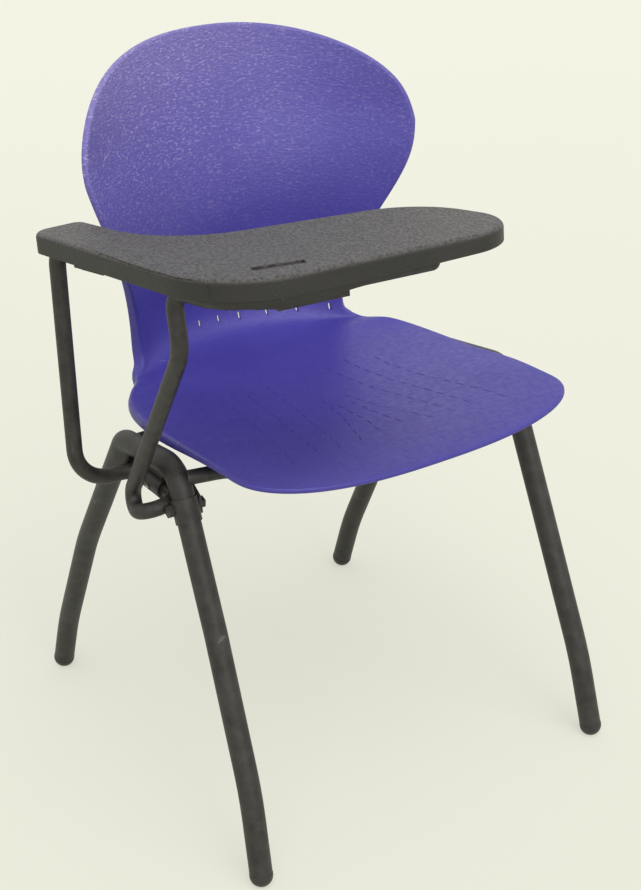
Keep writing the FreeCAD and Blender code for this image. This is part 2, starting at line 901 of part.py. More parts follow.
def back_trim():
    """Everything above this outline, seen from the front, is cut away."""
    centre = size("shell_top_centre")
    curve = power_curve(
        size("shell_top_half_width"), size("shell_top_rise"), size("shell_top_power"), TRIM_STEPS
    )
    arch = [Vector(x, -BEYOND, centre + z) for x, z in curve]
    sides = [
        arch[-1], Vector(-BEYOND, -BEYOND, centre), Vector(-BEYOND, -BEYOND, 3 * BEYOND),
        Vector(BEYOND, -BEYOND, 3 * BEYOND), Vector(BEYOND, -BEYOND, centre), arch[0],
    ]
    outline = [spline_through(arch)] + Part.makePolygon(sides).Edges
    return upright_prism(outline, Vector(0, 3 * BEYOND, 0))


def front_trim():
    """Everything in front of this outline, seen from above, is cut away."""
    start = size("shell_front_start_y")
    curve = power_curve(
        size("shell_front_half_width"), start - size("shell_front_y"),
        size("shell_front_power"), TRIM_STEPS,
    )
    arch = [Vector(x, start - y, BEYOND) for x, y in curve]
    sides = [
        arch[-1], Vector(-BEYOND, start, BEYOND), Vector(-BEYOND, -BEYOND, BEYOND),
        Vector(BEYOND, -BEYOND, BEYOND), Vector(BEYOND, start, BEYOND), arch[0],
    ]
    outline = [spline_through(arch)] + Part.makePolygon(sides).Edges
    return upright_prism(outline, Vector(0, 0, BEYOND))


def mirror_points(points):
    return [Vector(-p.x, p.y, p.z) for p in points]


def shell_blank():
    """The whole moulding before its front and top are cut to their outlines."""
    upper, edge_ends, inner_ends = shell_rows()
    under = under_rows(upper)
    top = face_through([both_sides(row) for row in upper])
    bottom = face_through([both_sides(row) for row in under])
    faces = [top, bottom]
    waist = len(upper) // 2
    for flip in (list, mirror_points):
        top_edge = edge_near(top, flip([upper[waist][-1]])[0])
        bottom_edge = edge_near(bottom, flip([under[waist][-1]])[0])
        outer_end = spline_through(flip(edge_ends))
        inner_end = spline_through(flip(inner_ends))
        faces.append(Part.makeRuledSurface(top_edge, outer_end))
        faces.append(Part.makeRuledSurface(outer_end, inner_end))
        faces.append(Part.makeRuledSurface(inner_end, bottom_edge))
    for i in (0, len(upper) - 1):
        outline = [edge_near(top, upper[i][0]), edge_near(bottom, under[i][0])]
        for flip in (list, mirror_points):
            rim = flip([upper[i][-1], edge_ends[i], inner_ends[i], under[i][-1]])
            outline += Part.makePolygon(rim).Edges
        faces.append(Part.Face(Part.Wire(Part.__sortEdges__(outline))))
    skin = Part.Shell(faces)
    skin.sewShape()
    solid = Part.Solid(skin)
    if solid.Volume < 0:
        solid.reverse()
    return solid


def shell_slots():
    """Small upright openings in a row across the lower back."""
    width = size("slot_width")
    height = size("slot_height")
    start = size("slot_cut_start_y")
    tools = []
    for x, z in SLOT_PLACES:
        corner = Vector(x - width / 2, start, z - height / 2)
        tools.append(Part.makeBox(width, size("slot_cut_length"), height, corner))
    return tools


def shell_bosses():
    """Round bosses under the seat that the four screws go into."""
    result = []
    for word, x, y, top, bar in FIXINGS:
        foot = Vector(x, y - SCREW_STEP, top)
        column = Part.makeCylinder(size("boss_diameter") / 2, size("boss_reach"), foot)
        result.append((foot, column))
    return result


shell_solid = shell_blank().cut(front_trim()).cut(back_trim())
for foot, column in shell_bosses():
    # Only the part of the column between the plate and the skin is kept.
    pieces = column.cut(shell_solid).Solids
    lowest = min(pieces, key=lambda piece: piece.BoundBox.ZMin)
    shell_solid = shell_solid.fuse(lowest)
    pilot = Part.makeCylinder(
        size("seat_screw_thread") / 2 + size("slip_fit"), size("pilot_depth"),
        foot - UP * size("cut_margin"),
    )
    shell_solid = shell_solid.cut(pilot)
for tool in shell_slots():
    shell_solid = shell_solid.cut(tool)
seat_shell = doc.addObject("Part::Feature", "seat_shell_moulding")
seat_shell.Shape = shell_solid
keep(seat_shell, "seat_shell")


# Writing tablet, drawn in its own level frame: its top face is z = 0, the sitter's side is -y

TILT = Rotation(SIDEWAYS, -size("tablet_tilt"))
TABLET = Placement(Vector(0, size("tablet_level_y"), size("tablet_height")), TILT)


def on_tablet(x, y):
    """Turn a place seen from above into the tablet's own x and y."""
    return x, (y - size("tablet_level_y")) / math.cos(math.radians(size("tablet_tilt")))


def tablet_corners():
    corners = []
    for corner, _, _, _ in TABLET_CORNERS:
        u, v = on_tablet(size("tablet_%s_x" % corner), size("tablet_%s_y" % corner))
        corners.append((u, v, size("tablet_%s_round" % corner)))
    return corners


tablet = new_body("writing_tablet_body")
outline = new_sketch(tablet, "XY_Plane", "tablet_outline")
rounded_outline(outline, tablet_corners())
block = pad(tablet, outline, "tablet_block", "Sizes.tablet_rim", back=True)
doc.recompute()
edges_on_top = [
    "Edge%d" % number for number, edge in enumerate(block.Shape.Edges, 1)
    if edge.BoundBox.ZMin > -0.01
]
top_round = tablet.newObject("PartDesign::Fillet", "tablet_top_round")
top_round.Base = (block, edges_on_top)
bind(top_round, "Radius", "Sizes.tablet_edge_round")
doc.recompute()

under_rim = -size("tablet_rim") - size("cut_margin")
hollow = new_sketch(tablet, "XY_Plane", "tablet_hollow_outline", under_rim)
rounded_outline(hollow, moved_inside(tablet_corners(), size("tablet_wall")))
pocket(
    tablet, hollow, "tablet_hollow", "Sizes.tablet_rim + Sizes.cut_margin - Sizes.tablet_skin",
    back=True
)

# The rim gets shallower towards the free end of the tablet.
taper = new_sketch(tablet, "XZ_Plane", "rim_taper_outline")
polygon(taper, [
    (size("rim_taper_start_x"), under_rim),
    (size("rim_taper_end_x"), under_rim),
    (size("rim_taper_end_x"), -size("tablet_rim") + size("rim_taper_rise")),
    (size("rim_taper_start_x"), -size("tablet_rim")),
])
tapered = pocket(tablet, taper, "rim_taper", "Sizes.rim_taper_reach")
tapered.Midplane = True

# The pen groove runs along the front edge.
groove_x, groove_y = on_tablet(size("pen_groove_x"), size("pen_groove_y"))
groove = new_sketch(tablet, "XY_Plane", "pen_groove_outline")
groove_place = Placement(
    Vector(groove_x, groove_y, 0), Rotation(UP, -size("pen_groove_turn"))
)
groove_corners = []
for end, edge in ((-1, -1), (1, -1), (1, 1), (-1, 1)):
    corner = Vector(end * size("pen_groove_length") / 2, edge * size("pen_groove_width") / 2, 0)
    corner = groove_place.multVec(corner)
    groove_corners.append((corner.x, corner.y, size("pen_groove_round")))
rounded_outline(groove, groove_corners)
pocket(tablet, groove, "pen_groove", "Sizes.pen_groove_depth")

# Stiffening ribs under the skin, shallow enough to clear the rod's front run.
# The ribs of the elbow rest stop beside the rod's rear run.
RIBS_ACROSS = [(-108, -279, 13), (-140, -274, 29), (-172, -262, 39)]
RIBS_ELBOW = [(-2, -259, -212), (36, -265, -232), (72, -272, -239)]
RIBS_ALONG = [(-225, -200, -32), (-160, -216, -44), (-95, -223, -58), (-30, -230, -78)]
rib_half = size("rib_thickness") / 2
rib_bottom = size("tablet_skin") + size("rib_depth")


def rib_group(name, blocks):
    """Pad a set of ribs, each given by its two opposite corners seen from above."""
    rib_sketch = new_sketch(tablet, "XY_Plane", name + "_outline", -rib_bottom)
    for (x0, y0), (x1, y1) in blocks:
        v0 = on_tablet(0, y0)[1]
        v1 = on_tablet(0, y1)[1]
        polygon(rib_sketch, [(x0, v0), (x1, v0), (x1, v1), (x0, v1)])
    pad(tablet, rib_sketch, name, "Sizes.rib_depth + Sizes.rib_root")


for name, ribs in (("writing_ribs", RIBS_ACROSS), ("elbow_ribs", RIBS_ELBOW)):
    rib_group(name, [((x0, y - rib_half), (x1, y + rib_half)) for y, x0, x1 in ribs])
rib_group("long_ribs", [((x - rib_half, y0), (x + rib_half, y1)) for x, y0, y1 in RIBS_ALONG])


# The rod's middle line: up behind the elbow, down through the hinge, up again and along the front

def under_tablet(place, depth):
    """A point straight below a place on the tablet's top, at a depth measured square to it."""
    tilt = math.radians(size("tablet_tilt"))
    x, y = size(place + "_x"), size(place + "_y")
    fall = math.tan(tilt) * (y - size("tablet_level_y"))
    return Vector(x, y, size("tablet_height") - fall - size(depth) / math.cos(tilt))


def rod_points():
    x = size("hinge_x")
    z = size("hinge_height")
    rear_y = size("hinge_rear_y")
    front_y = size("hinge_front_y")
    return [
        under_tablet("rod_rear_end", "rod_rear_below_top"),
        under_tablet("rod_rear_corner", "rod_rear_below_top"),
        Vector(size("rod_rear_corner_x"), rear_y, z),
        Vector(x, rear_y, z),
        Vector(x, front_y, z),
        Vector(size("turn_out_x"), front_y, size("turn_out_height")),
        Vector(size("turn_low_x"), size("turn_low_y"), size("turn_low_height")),
        Vector(size("inner_knee_x"), size("inner_knee_y"), size("inner_knee_height")),
        under_tablet("inner_top", "rod_below_top"),
        under_tablet("rod_front_corner", "rod_below_top"),
        under_tablet("rod_front_end", "rod_below_top"),
    ]


ROD_POINTS = rod_points()
ROD_BENDS = [
    size(word) for word in (
        "rod_top_bend", "outer_low_bend", "hinge_rear_bend", "turn_first_bend",
        "turn_second_bend", "turn_third_bend", "inner_knee_bend", "rod_top_bend",
        "rod_corner_bend",
    )
]
rod_bar, rod_tube, rod_path = hollow_tube(
    "tablet_rod", ROD_POINTS, ROD_BENDS, "rod_tube", "rod_wall"
)
keep(rod_tube, "tablet_rod")


# Saddles that clamp the rod to the tablet, each in a frame along the rod

def saddle_frame(start, end, part):
    """Where a saddle sits on the tablet, as a share of the way along a run of the rod."""
    start = TABLET.inverse().multVec(start)
    run = TABLET.inverse().multVec(end) - start
    spot = start + run * part
    angle = math.degrees(math.atan2(run.y, run.x))
    return Placement(Vector(spot.x, spot.y, 0), Rotation(UP, angle))


def saddle(label, frame, length_name, depth_name, thickness_name, screw_places):
    """A hat-shaped strap: a channel round the rod and a flange on each side."""
    body = new_body(label + "_body")
    profile = new_sketch(body, "YZ_Plane", label + "_profile", -size(length_name) / 2)
    rod = size("rod_tube") / 2 + size("running_fit")
    thick = size(thickness_name)
    wide = rod + thick + size("saddle_flange")
    narrow = rod + thick + size("saddle_lip")
    rim = -size("tablet_rim")
    bottom = -size(depth_name) - rod
    polygon(profile, [
        (-narrow, rim), (-rod, rim), (-rod, bottom), (rod, bottom), (rod, rim), (wide, rim),
        (wide, rim - thick), (rod + thick, rim - thick), (rod + thick, bottom - thick),
        (-rod - thick, bottom - thick), (-rod - thick, rim - thick), (-narrow, rim - thick),
    ])
    pad(body, profile, label + "_strap", "Sizes." + length_name)
    holes = new_sketch(body, "XY_Plane", label + "_holes", rim + size("cut_margin"))
    for x, y in screw_places:
        circle(holes, x, y, "Sizes.tablet_screw / 2 + Sizes.slip_fit")
    pocket(body, holes, label + "_drilled", "Sizes.%s + Sizes.cut_margin * 2" % thickness_name)
    return keep(body, label, TABLET.multiply(frame))


FLANGE_MIDDLE = (
    size("rod_tube") / 2 + size("saddle_thickness") + size("saddle_flange") / 2
    + size("flange_screw_offset")
)
front_frame = saddle_frame(ROD_POINTS[-2], ROD_POINTS[-1], size("saddle_front_part"))
rear_frame = saddle_frame(ROD_POINTS[1], ROD_POINTS[0], size("saddle_rear_part"))
front_reach = size("saddle_front_length") / 2 - size("saddle_screw_inset")
front_places = [(-front_reach, FLANGE_MIDDLE), (front_reach, FLANGE_MIDDLE)]
rear_places = [(0, FLANGE_MIDDLE)]
SCREW_SPOTS = [
    (front_frame.multVec(Vector(x, y, 0)), "saddle_thickness") for x, y in front_places
]
SCREW_SPOTS += [
    (rear_frame.multVec(Vector(x, y, 0)), "saddle_rear_thickness") for x, y in rear_places
]

# Bosses for the screws, moulded with the tablet
boss_sketch = new_sketch(tablet, "XY_Plane", "screw_bosses_outline", -size("tablet_rim"))
for spot, _ in SCREW_SPOTS:
    circle(boss_sketch, spot.x, spot.y, "Sizes.boss_tablet / 2")
pad(
    tablet, boss_sketch, "screw_bosses",
    "Sizes.tablet_rim - Sizes.tablet_skin + Sizes.rib_root"
)
pilot_sketch = new_sketch(tablet, "XY_Plane", "pilot_holes_outline", under_rim)
for spot, _ in SCREW_SPOTS:
    circle(pilot_sketch, spot.x, spot.y, "Sizes.tablet_screw / 2 + Sizes.slip_fit")
pocket(tablet, pilot_sketch, "pilot_holes", "Sizes.tablet_screw_length", back=True)
keep(tablet, "writing_tablet", TABLET)

saddle(
    "front_saddle", front_frame, "saddle_front_length", "rod_below_top", "saddle_thickness",
    front_places
)
saddle(
    "rear_saddle", rear_frame, "saddle_rear_length", "rod_rear_below_top",
    "saddle_rear_thickness", rear_places
)

tablet_screws = []
for number, (spot, strap) in enumerate(SCREW_SPOTS, 1):
    strap_face = -size("tablet_rim") - size(strap)
    head_bottom = strap_face - size("tablet_screw_head_height")
    screw_head = cylinder(
        "tablet_screw_head_%d" % number, "Sizes.tablet_screw_head / 2",
        "Sizes.tablet_screw_head_height",
        TABLET.multiply(Placement(Vector(spot.x, spot.y, head_bottom), Rotation()))
    )
    screw_shank = cylinder(
        "tablet_screw_shank_%d" % number, "Sizes.tablet_screw / 2", "Sizes.tablet_screw_length",
        TABLET.multiply(Placement(Vector(spot.x, spot.y, strap_face), Rotation()))
    )
    tablet_screws.append(fuse("tablet_screw_%d" % number, screw_head, screw_shank))
group("tablet_screws", tablet_screws)


# Domed plugs in the two open ends of the rod

def end_plug(name, end, inner):
    outward = end - inner
    outward.normalize()
    dome = doc.addObject("Part::Sphere", name + "_dome")
    bind(dome, "Radius", "Sizes.rod_tube / 2")
    dome.Angle1 = 0
    dome.Placement = Placement(end, Rotation(UP, outward))
    stem = cylinder(
        name + "_stem", "Sizes.rod_tube / 2 - Sizes.rod_wall - Sizes.slip_fit",
        "Sizes.plug_length", Placement(end, Rotation(UP, -outward))
    )
    return fuse(name, dome, stem)


group("rod_end_plugs", [
    end_plug("rear_plug", ROD_POINTS[0], ROD_POINTS[1]),
    end_plug("front_plug", ROD_POINTS[-1], ROD_POINTS[-2]),
])

# The stop pin stands in the rod's outer side at rest and travels in the slot of the sleeve.
pin_outer = size("hinge_x") - size("sleeve_diameter") / 2 - size("stop_pin_proud")
pin = cylinder(
    "stop_pin_blank", "Sizes.stop_pin_diameter / 2", "Sizes.rod_tube / 2",
    Placement(Vector(pin_outer, pin_y, size("hinge_height")), ACROSS)
)
keep(cut("stop_pin_seated", pin, rod_bar), "fold_stop_pin")


# Clamp strap round the front leg, with the bolt and nut that hold the bracket to it

leg_top, leg_knee = leg_points(-1)[4:6]
leg_axis = leg_top - leg_knee
leg_axis.normalize()
strap_start = size("bracket_bolt_height") - size("clamp_length") / 2
leg_foot = leg_knee + leg_axis * ((strap_start - leg_knee.z) / leg_axis.z)
strap = cylinder(
    "clamp_blank", "Sizes.frame_tube / 2 + Sizes.clamp_thickness", "Sizes.clamp_length",
    Placement(leg_foot, Rotation(UP, leg_axis))
)
strap_on_leg = cut("clamp_on_leg", strap, right_bar)
clamp_cut = 3 * size("clamp_length")
rear_half = box(
    "clamp_rear_half",
    Vector(
        leg_foot.x - clamp_cut / 2, bolt_spot.y + size("clamp_half_depth"),
        leg_foot.z - size("clamp_length")
    ),
    clamp_cut, clamp_cut, clamp_cut,
)
strap_half = cut("clamp_half", strap_on_leg, rear_half)
keep(cut("clamp_drilled", strap_half, bolt_hole), "leg_clamp")


def hexagon(name, place, height_formula):
    prism = doc.addObject("Part::Prism", name)
    prism.Polygon = 6
    bind(prism, "Circumradius", "Sizes.bolt_head_flats / 1.732")
    bind(prism, "Height", height_formula)
    prism.Placement = place
    return prism


nut_face = inner_x + size("bracket_gap") + size("bracket_thickness")
nut_spot = Vector(nut_face, bolt_spot.y, bolt_spot.z)
nut_blank = hexagon("nut_blank", Placement(nut_spot, ACROSS), "Sizes.bolt_head_height")
keep(cut("nut_drilled", nut_blank, bolt_hole), "bracket_nut")
leg_x = (leg_knee + leg_axis * ((bolt_spot.z - leg_knee.z) / leg_axis.z)).x
head_face = leg_x - size("frame_tube") / 2 - size("clamp_thickness") - size("bolt_head_gap")
head_spot = Vector(head_face - size("bolt_head_height"), bolt_spot.y, bolt_spot.z)
bolt_head = hexagon("bolt_head", Placement(head_spot, ACROSS), "Sizes.bolt_head_height")
bolt_length = nut_face + size("bolt_head_height") + size("bolt_proud") - head_spot.x
bolt_shank = cylinder(
    "bolt_shank", "Sizes.bracket_bolt / 2", "%f" % bolt_length, Placement(head_spot, ACROSS)
)
keep(fuse("bolt_shape", bolt_head, bolt_shank), "bracket_bolt")

doc.recompute()

failed = [thing.Name for thing in doc.Objects if "Invalid" in thing.State or "Error" in thing.State]
if failed:
    raise RuntimeError("objects that did not build: %s" % ", ".join(failed))
for thing in sub_parts:
    if thing.Shape.isNull() or not thing.Shape.isValid() or thing.Shape.Volume <= 0:
        raise RuntimeError("no sound solid for %s" % thing.Label)
for thing in sub_parts:
    thing.Shape.exportStep("parts/%s.step" % thing.Label)
    box_ = thing.Shape.BoundBox
    print(
        "%-24s %2d solids %10.0f mm3  x %7.1f %7.1f  y %7.1f %7.1f  z %6.1f %6.1f" % (
            thing.Label, len(thing.Shape.Solids), thing.Shape.Volume,
            box_.XMin, box_.XMax, box_.YMin, box_.YMax, box_.ZMin, box_.ZMax,
        )
    )
bar_area = math.pi * (size("rod_tube") ** 2 - (size("rod_tube") - 2 * size("rod_wall")) ** 2) / 4
print("rod volume over section times length", rod_tube.Shape.Volume / (bar_area * rod_path.Shape.Length))
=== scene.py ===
import json
import math

import bpy
import bmesh
import numpy as np
from mathutils import Matrix, Vector


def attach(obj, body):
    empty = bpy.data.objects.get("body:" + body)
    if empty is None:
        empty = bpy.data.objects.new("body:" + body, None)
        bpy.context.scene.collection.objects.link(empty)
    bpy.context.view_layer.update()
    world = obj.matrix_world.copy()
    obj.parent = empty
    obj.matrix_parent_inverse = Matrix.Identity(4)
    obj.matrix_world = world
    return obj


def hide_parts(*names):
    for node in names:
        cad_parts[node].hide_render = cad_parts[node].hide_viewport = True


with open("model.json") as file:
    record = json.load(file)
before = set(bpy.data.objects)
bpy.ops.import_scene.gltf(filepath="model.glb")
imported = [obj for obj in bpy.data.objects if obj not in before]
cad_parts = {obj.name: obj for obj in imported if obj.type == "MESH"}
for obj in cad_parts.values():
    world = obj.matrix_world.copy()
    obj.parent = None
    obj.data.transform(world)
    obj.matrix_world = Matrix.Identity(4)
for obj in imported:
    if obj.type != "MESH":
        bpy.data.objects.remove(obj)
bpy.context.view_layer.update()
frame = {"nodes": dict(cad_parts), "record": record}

MM = 0.001
NODES = frame["nodes"]
CHAIR = "chair"
ARM = "tablet_arm"

# The chair's middle plane and its own front-to-back zero, in the frame
MIDDLE_X = 28.58
MIDDLE_Y = -51.44


def place(x, y, z):
    """A point of the chair in millimetres, as a point of the frame in metres."""
    return Vector(((x + MIDDLE_X) * MM, (y + MIDDLE_Y) * MM, z * MM))


# Plane of the writing face: its tilt in degrees, and its height at one place along y

TABLET_TILT = 5.143
TABLET_HEIGHT = 669.0
TABLET_LEVEL_Y = 78.0


# Camera

FOCAL_PIXELS = 1721.35
IMAGE_WIDTH = 641
IMAGE_HEIGHT = 890
SENSOR = 36.0
CAMERA_AZIMUTH = -33.48
CAMERA_ELEVATION = 26.69
CAMERA_ROLL = -1.13
CAMERA_PLACE = place(-960.95, -1405.04, 1238.99)


def add_camera():
    azimuth = math.radians(CAMERA_AZIMUTH)
    elevation = math.radians(CAMERA_ELEVATION)
    roll = math.radians(CAMERA_ROLL)
    back = Vector((
        math.sin(azimuth) * math.cos(elevation),
        -math.cos(azimuth) * math.cos(elevation),
        math.sin(elevation),
    ))
    level_right = (-back).cross(Vector((0, 0, 1))).normalized()
    level_up = level_right.cross(-back)
    right = level_right * math.cos(roll) + level_up * math.sin(roll)
    up = level_up * math.cos(roll) - level_right * math.sin(roll)
    data = bpy.data.cameras.new("camera")
    data.sensor_width = SENSOR
    data.lens = FOCAL_PIXELS / max(IMAGE_WIDTH, IMAGE_HEIGHT) * SENSOR
    camera = bpy.data.objects.new("camera", data)
    turn = Matrix((right, up, back)).transposed().to_4x4()
    camera.matrix_world = Matrix.Translation(CAMERA_PLACE) @ turn
    bpy.context.collection.objects.link(camera)
    bpy.context.scene.camera = camera


add_camera()


# Mesh helpers

def mesh_object(name, verts, faces, material, smooth_angle=35.0):
    """A mesh object from points in millimetres of the chair."""
    mesh = bpy.data.meshes.new(name)
    mesh.from_pydata([place(*v) for v in verts], [], faces)
    shape = bmesh.new()
    shape.from_mesh(mesh)
    bmesh.ops.recalc_face_normals(shape, faces=shape.faces)
    shape.to_mesh(mesh)
    shape.free()
    smooth(mesh, smooth_angle)
    mesh.materials.append(material)
    thing = bpy.data.objects.new(name, mesh)
    bpy.context.collection.objects.link(thing)
    return thing


def smooth(mesh, angle):
    """Smooth shading, with edges sharper than the angle kept crisp."""
    mesh.polygons.foreach_set("use_smooth", [True] * len(mesh.polygons))
    mesh.set_sharp_from_angle(angle=math.radians(angle))


def belongs(thing, body):
    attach(thing, body)


def grid_faces(rows, columns, start=0, closed=False):
    """Quads between rows of points that follow each other in a list."""
    faces = []
    steps = columns if closed else columns - 1
    for i in range(rows - 1):
        for j in range(steps):
            a = start + i * columns + j
            b = start + i * columns + (j + 1) % columns
            faces.append((a, b, b + columns, a + columns))
    return faces


def end_faces(start, end, sides):
    """The two flat ends of a run of rings."""
    return [tuple(range(start, start + sides)), tuple(range(end - sides, end))]


def tube_along(points, radii, sides):
    """Points and faces of a round bar along a line, its radius given at every point."""
    last = len(points) - 1
    verts = []
    normal = None
    for i, point in enumerate(points):
        ahead = (points[min(i + 1, last)] - points[max(i - 1, 0)]).normalized()
        if normal is None:
            normal = ahead.orthogonal().normalized()
        normal = (normal - ahead * normal.dot(ahead)).normalized()
        side = ahead.cross(normal)
        for k in range(sides):
            angle = 2 * math.pi * k / sides
            offset = normal * math.cos(angle) + side * math.sin(angle)
            verts.append(point + offset * radii[i])
    faces = grid_faces(len(points), sides, closed=True)
    return verts, faces + end_faces(0, len(verts), sides)


def lathe(profile, centre, axis, sides=40):
    """Points and faces of a turned piece: (along, radius) pairs about an axis."""
    axis = axis.normalized()
    first = axis.orthogonal().normalized()
    second = axis.cross(first)
    verts = []
    for along, radius in profile:
        for k in range(sides):
            angle = 2 * math.pi * k / sides
            outward = first * math.cos(angle) + second * math.sin(angle)
            verts.append(centre + axis * along + outward * radius)
    faces = grid_faces(len(profile), sides, closed=True)
    return verts, faces + end_faces(0, len(verts), sides)


# Node helpers

def new_group(name, inputs, outputs):
    """A shader group with named numbers going in and named values coming out."""
    group = bpy.data.node_groups.new(name, "ShaderNodeTree")
    for label, value in inputs:
        socket = group.interface.new_socket(label, in_out="INPUT", socket_type="NodeSocketFloat")
        socket.default_value = value
    for label, kind in outputs:
        group.interface.new_socket(label, in_out="OUTPUT", socket_type=kind)
    return group


def add_node(tree, kind, **settings):
    node = tree.nodes.new(kind)
    for key, value in settings.items():
        setattr(node, key, value)
    return node


def feed(tree, value, socket):
    """Give a socket a plain number, or link another socket to it."""
    if isinstance(value, (int, float)):
        socket.default_value = value
    else:
        tree.links.new(value, socket)


def calculate(tree, operation, *values, clamp=False):
    """A Math node fed by sockets or plain numbers."""
    node = add_node(tree, "ShaderNodeMath", operation=operation, use_clamp=clamp)
    for index, value in enumerate(values):
        feed(tree, value, node.inputs[index])
    return node.outputs[0]


def blend_colours(tree, share, first, second):
    """Mix two colours by a share that changes over the surface."""
    node = add_node(tree, "ShaderNodeMix", data_type="RGBA")
    tree.links.new(share, node.inputs["Factor"])
    for label, value in ((6, first), (7, second)):
        if isinstance(value, tuple):
            node.inputs[label].default_value = (*value, 1.0)
        else:
            tree.links.new(value, node.inputs[label])
    return node.outputs[2]


def remap(tree, value, low, high, to_low=0.0, to_high=1.0):
    node = add_node(tree, "ShaderNodeMapRange", clamp=True)
    tree.links.new(value, node.inputs["Value"])
    ends = {"From Min": low, "From Max": high, "To Min": to_low, "To Max": to_high}
    for label, number in ends.items():
        node.inputs[label].default_value = number
    return node.outputs["Result"]


def object_place(tree):
    return add_node(tree, "ShaderNodeTexCoord").outputs["Object"]


def object_axes(tree):
    """Object coordinates, one socket for each axis."""
    axes = add_node(tree, "ShaderNodeSeparateXYZ")
    tree.links.new(object_place(tree), axes.inputs["Vector"])
    return axes.outputs


def scaled_place(tree, scale):
    """Object coordinates stretched by a scale for each axis."""
    mapping = add_node(tree, "ShaderNodeMapping")
    mapping.inputs["Scale"].default_value = scale
    tree.links.new(object_place(tree), mapping.inputs["Vector"])
    return mapping.outputs["Vector"]


def noise(tree, vector, scale, detail, rough=0.5):
    node = add_node(tree, "ShaderNodeTexNoise")
    tree.links.new(vector, node.inputs["Vector"])
    feed(tree, scale, node.inputs["Scale"])
    node.inputs["Detail"].default_value = detail
    node.inputs["Roughness"].default_value = rough
    return node.outputs["Fac"]


def bump(tree, height, distance, strength, before=None):
    node = add_node(tree, "ShaderNodeBump")
    node.inputs["Distance"].default_value = distance
    feed(tree, strength, node.inputs["Strength"])
    tree.links.new(height, node.inputs["Height"])
    if before is not None:
        tree.links.new(before, node.inputs["Normal"])
    return node.outputs["Normal"]


def use_group(tree, group, **values):
    node = add_node(tree, "ShaderNodeGroup", node_tree=group)
    for label, value in values.items():
        node.inputs[label.replace("_", " ")].default_value = value
    return node


# Shared effects

def grain_group():
    """Fine moulded or sprayed grain: a height for bump and a slow mottle for colour."""
    group = new_group(
        "surface_grain", [("Scale", 900.0), ("Mottle Scale", 14.0)],
        [("Height", "NodeSocketFloat"), ("Mottle", "NodeSocketFloat")],
    )
    inside = add_node(group, "NodeGroupInput")
    outside = add_node(group, "NodeGroupOutput")
    vector = object_place(group)
    fine = noise(group, vector, inside.outputs["Scale"], 2.0, 0.6)
    slow = noise(group, vector, inside.outputs["Mottle Scale"], 4.0, 0.55)
    group.links.new(fine, outside.inputs["Height"])
    group.links.new(remap(group, slow, 0.32, 0.68), outside.inputs["Mottle"])
    return group


def scuff_group():
    """Sparse thin rub marks, as a mask."""
    group = new_group("rub_marks", [("Amount", 0.5)], [("Mask", "NodeSocketFloat")])
    inside = add_node(group, "NodeGroupInput")
    outside = add_node(group, "NodeGroupOutput")
    marks = None
    for scale in ((260.0, 22.0, 30.0), (24.0, 240.0, 40.0)):
        streak = noise(group, scaled_place(group, scale), 1.0, 2.0, 0.5)
        streak = remap(group, streak, 0.70, 0.76)
        marks = streak if marks is None else calculate(group, "MAXIMUM", marks, streak)
    patches = remap(group, noise(group, object_place(group), 9.0, 2.0), 0.50, 0.62)
    mask = calculate(group, "MULTIPLY", marks, patches)
    mask = calculate(group, "MULTIPLY", mask, inside.outputs["Amount"], clamp=True)
    group.links.new(mask, outside.inputs["Mask"])
    return group


GRAIN = grain_group()
SCUFFS = scuff_group()


def new_material(name):
    material = bpy.data.materials.new(name)
    material.use_nodes = True
    tree = material.node_tree
    return material, tree, tree.nodes["Principled BSDF"]


def dress(tree, shader, colour, rough, normal):
    """Link what changes over the surface to the shader."""
    for label, value in (("Base Color", colour), ("Roughness", rough), ("Normal", normal)):
        tree.links.new(value, shader.inputs[label])


SHELL_DARK = (0.060, 0.048, 0.335)
SHELL_LIGHT = (0.076, 0.062, 0.385)
# Painted sheen over the upper back, for the light it reflects
SHELL_PAINTED_SHEEN = (0.260, 0.220, 0.560)
# Painted glints on the back's lumps, for the light they catch
SHELL_PAINTED_GLINT = (0.46, 0.42, 0.74)
SHELL_SCUFF = (0.34, 0.31, 0.62)
# Places in metres between which the painted glints and sheen grow, and the lumps deepen: up the
# back and towards the right
GLINT_ZONE_HEIGHTS = (0.52, 0.76)
GLINT_ZONE_SIDES = (0.16, -0.12)
GLINT_ZONE_LEAST = 0.35
# Heights in metres over which the painted sheen comes in
PAINTED_SHEEN_HEIGHTS = (0.68, 0.80)
PAINTED_SHEEN_LEAST = 0.55
LUMP_STRETCH = (150.0, 150.0, 420.0)
LUMP_RELIEF = 0.0016
PAINTED_GLINT_STRETCH = (230.0, 230.0, 620.0)


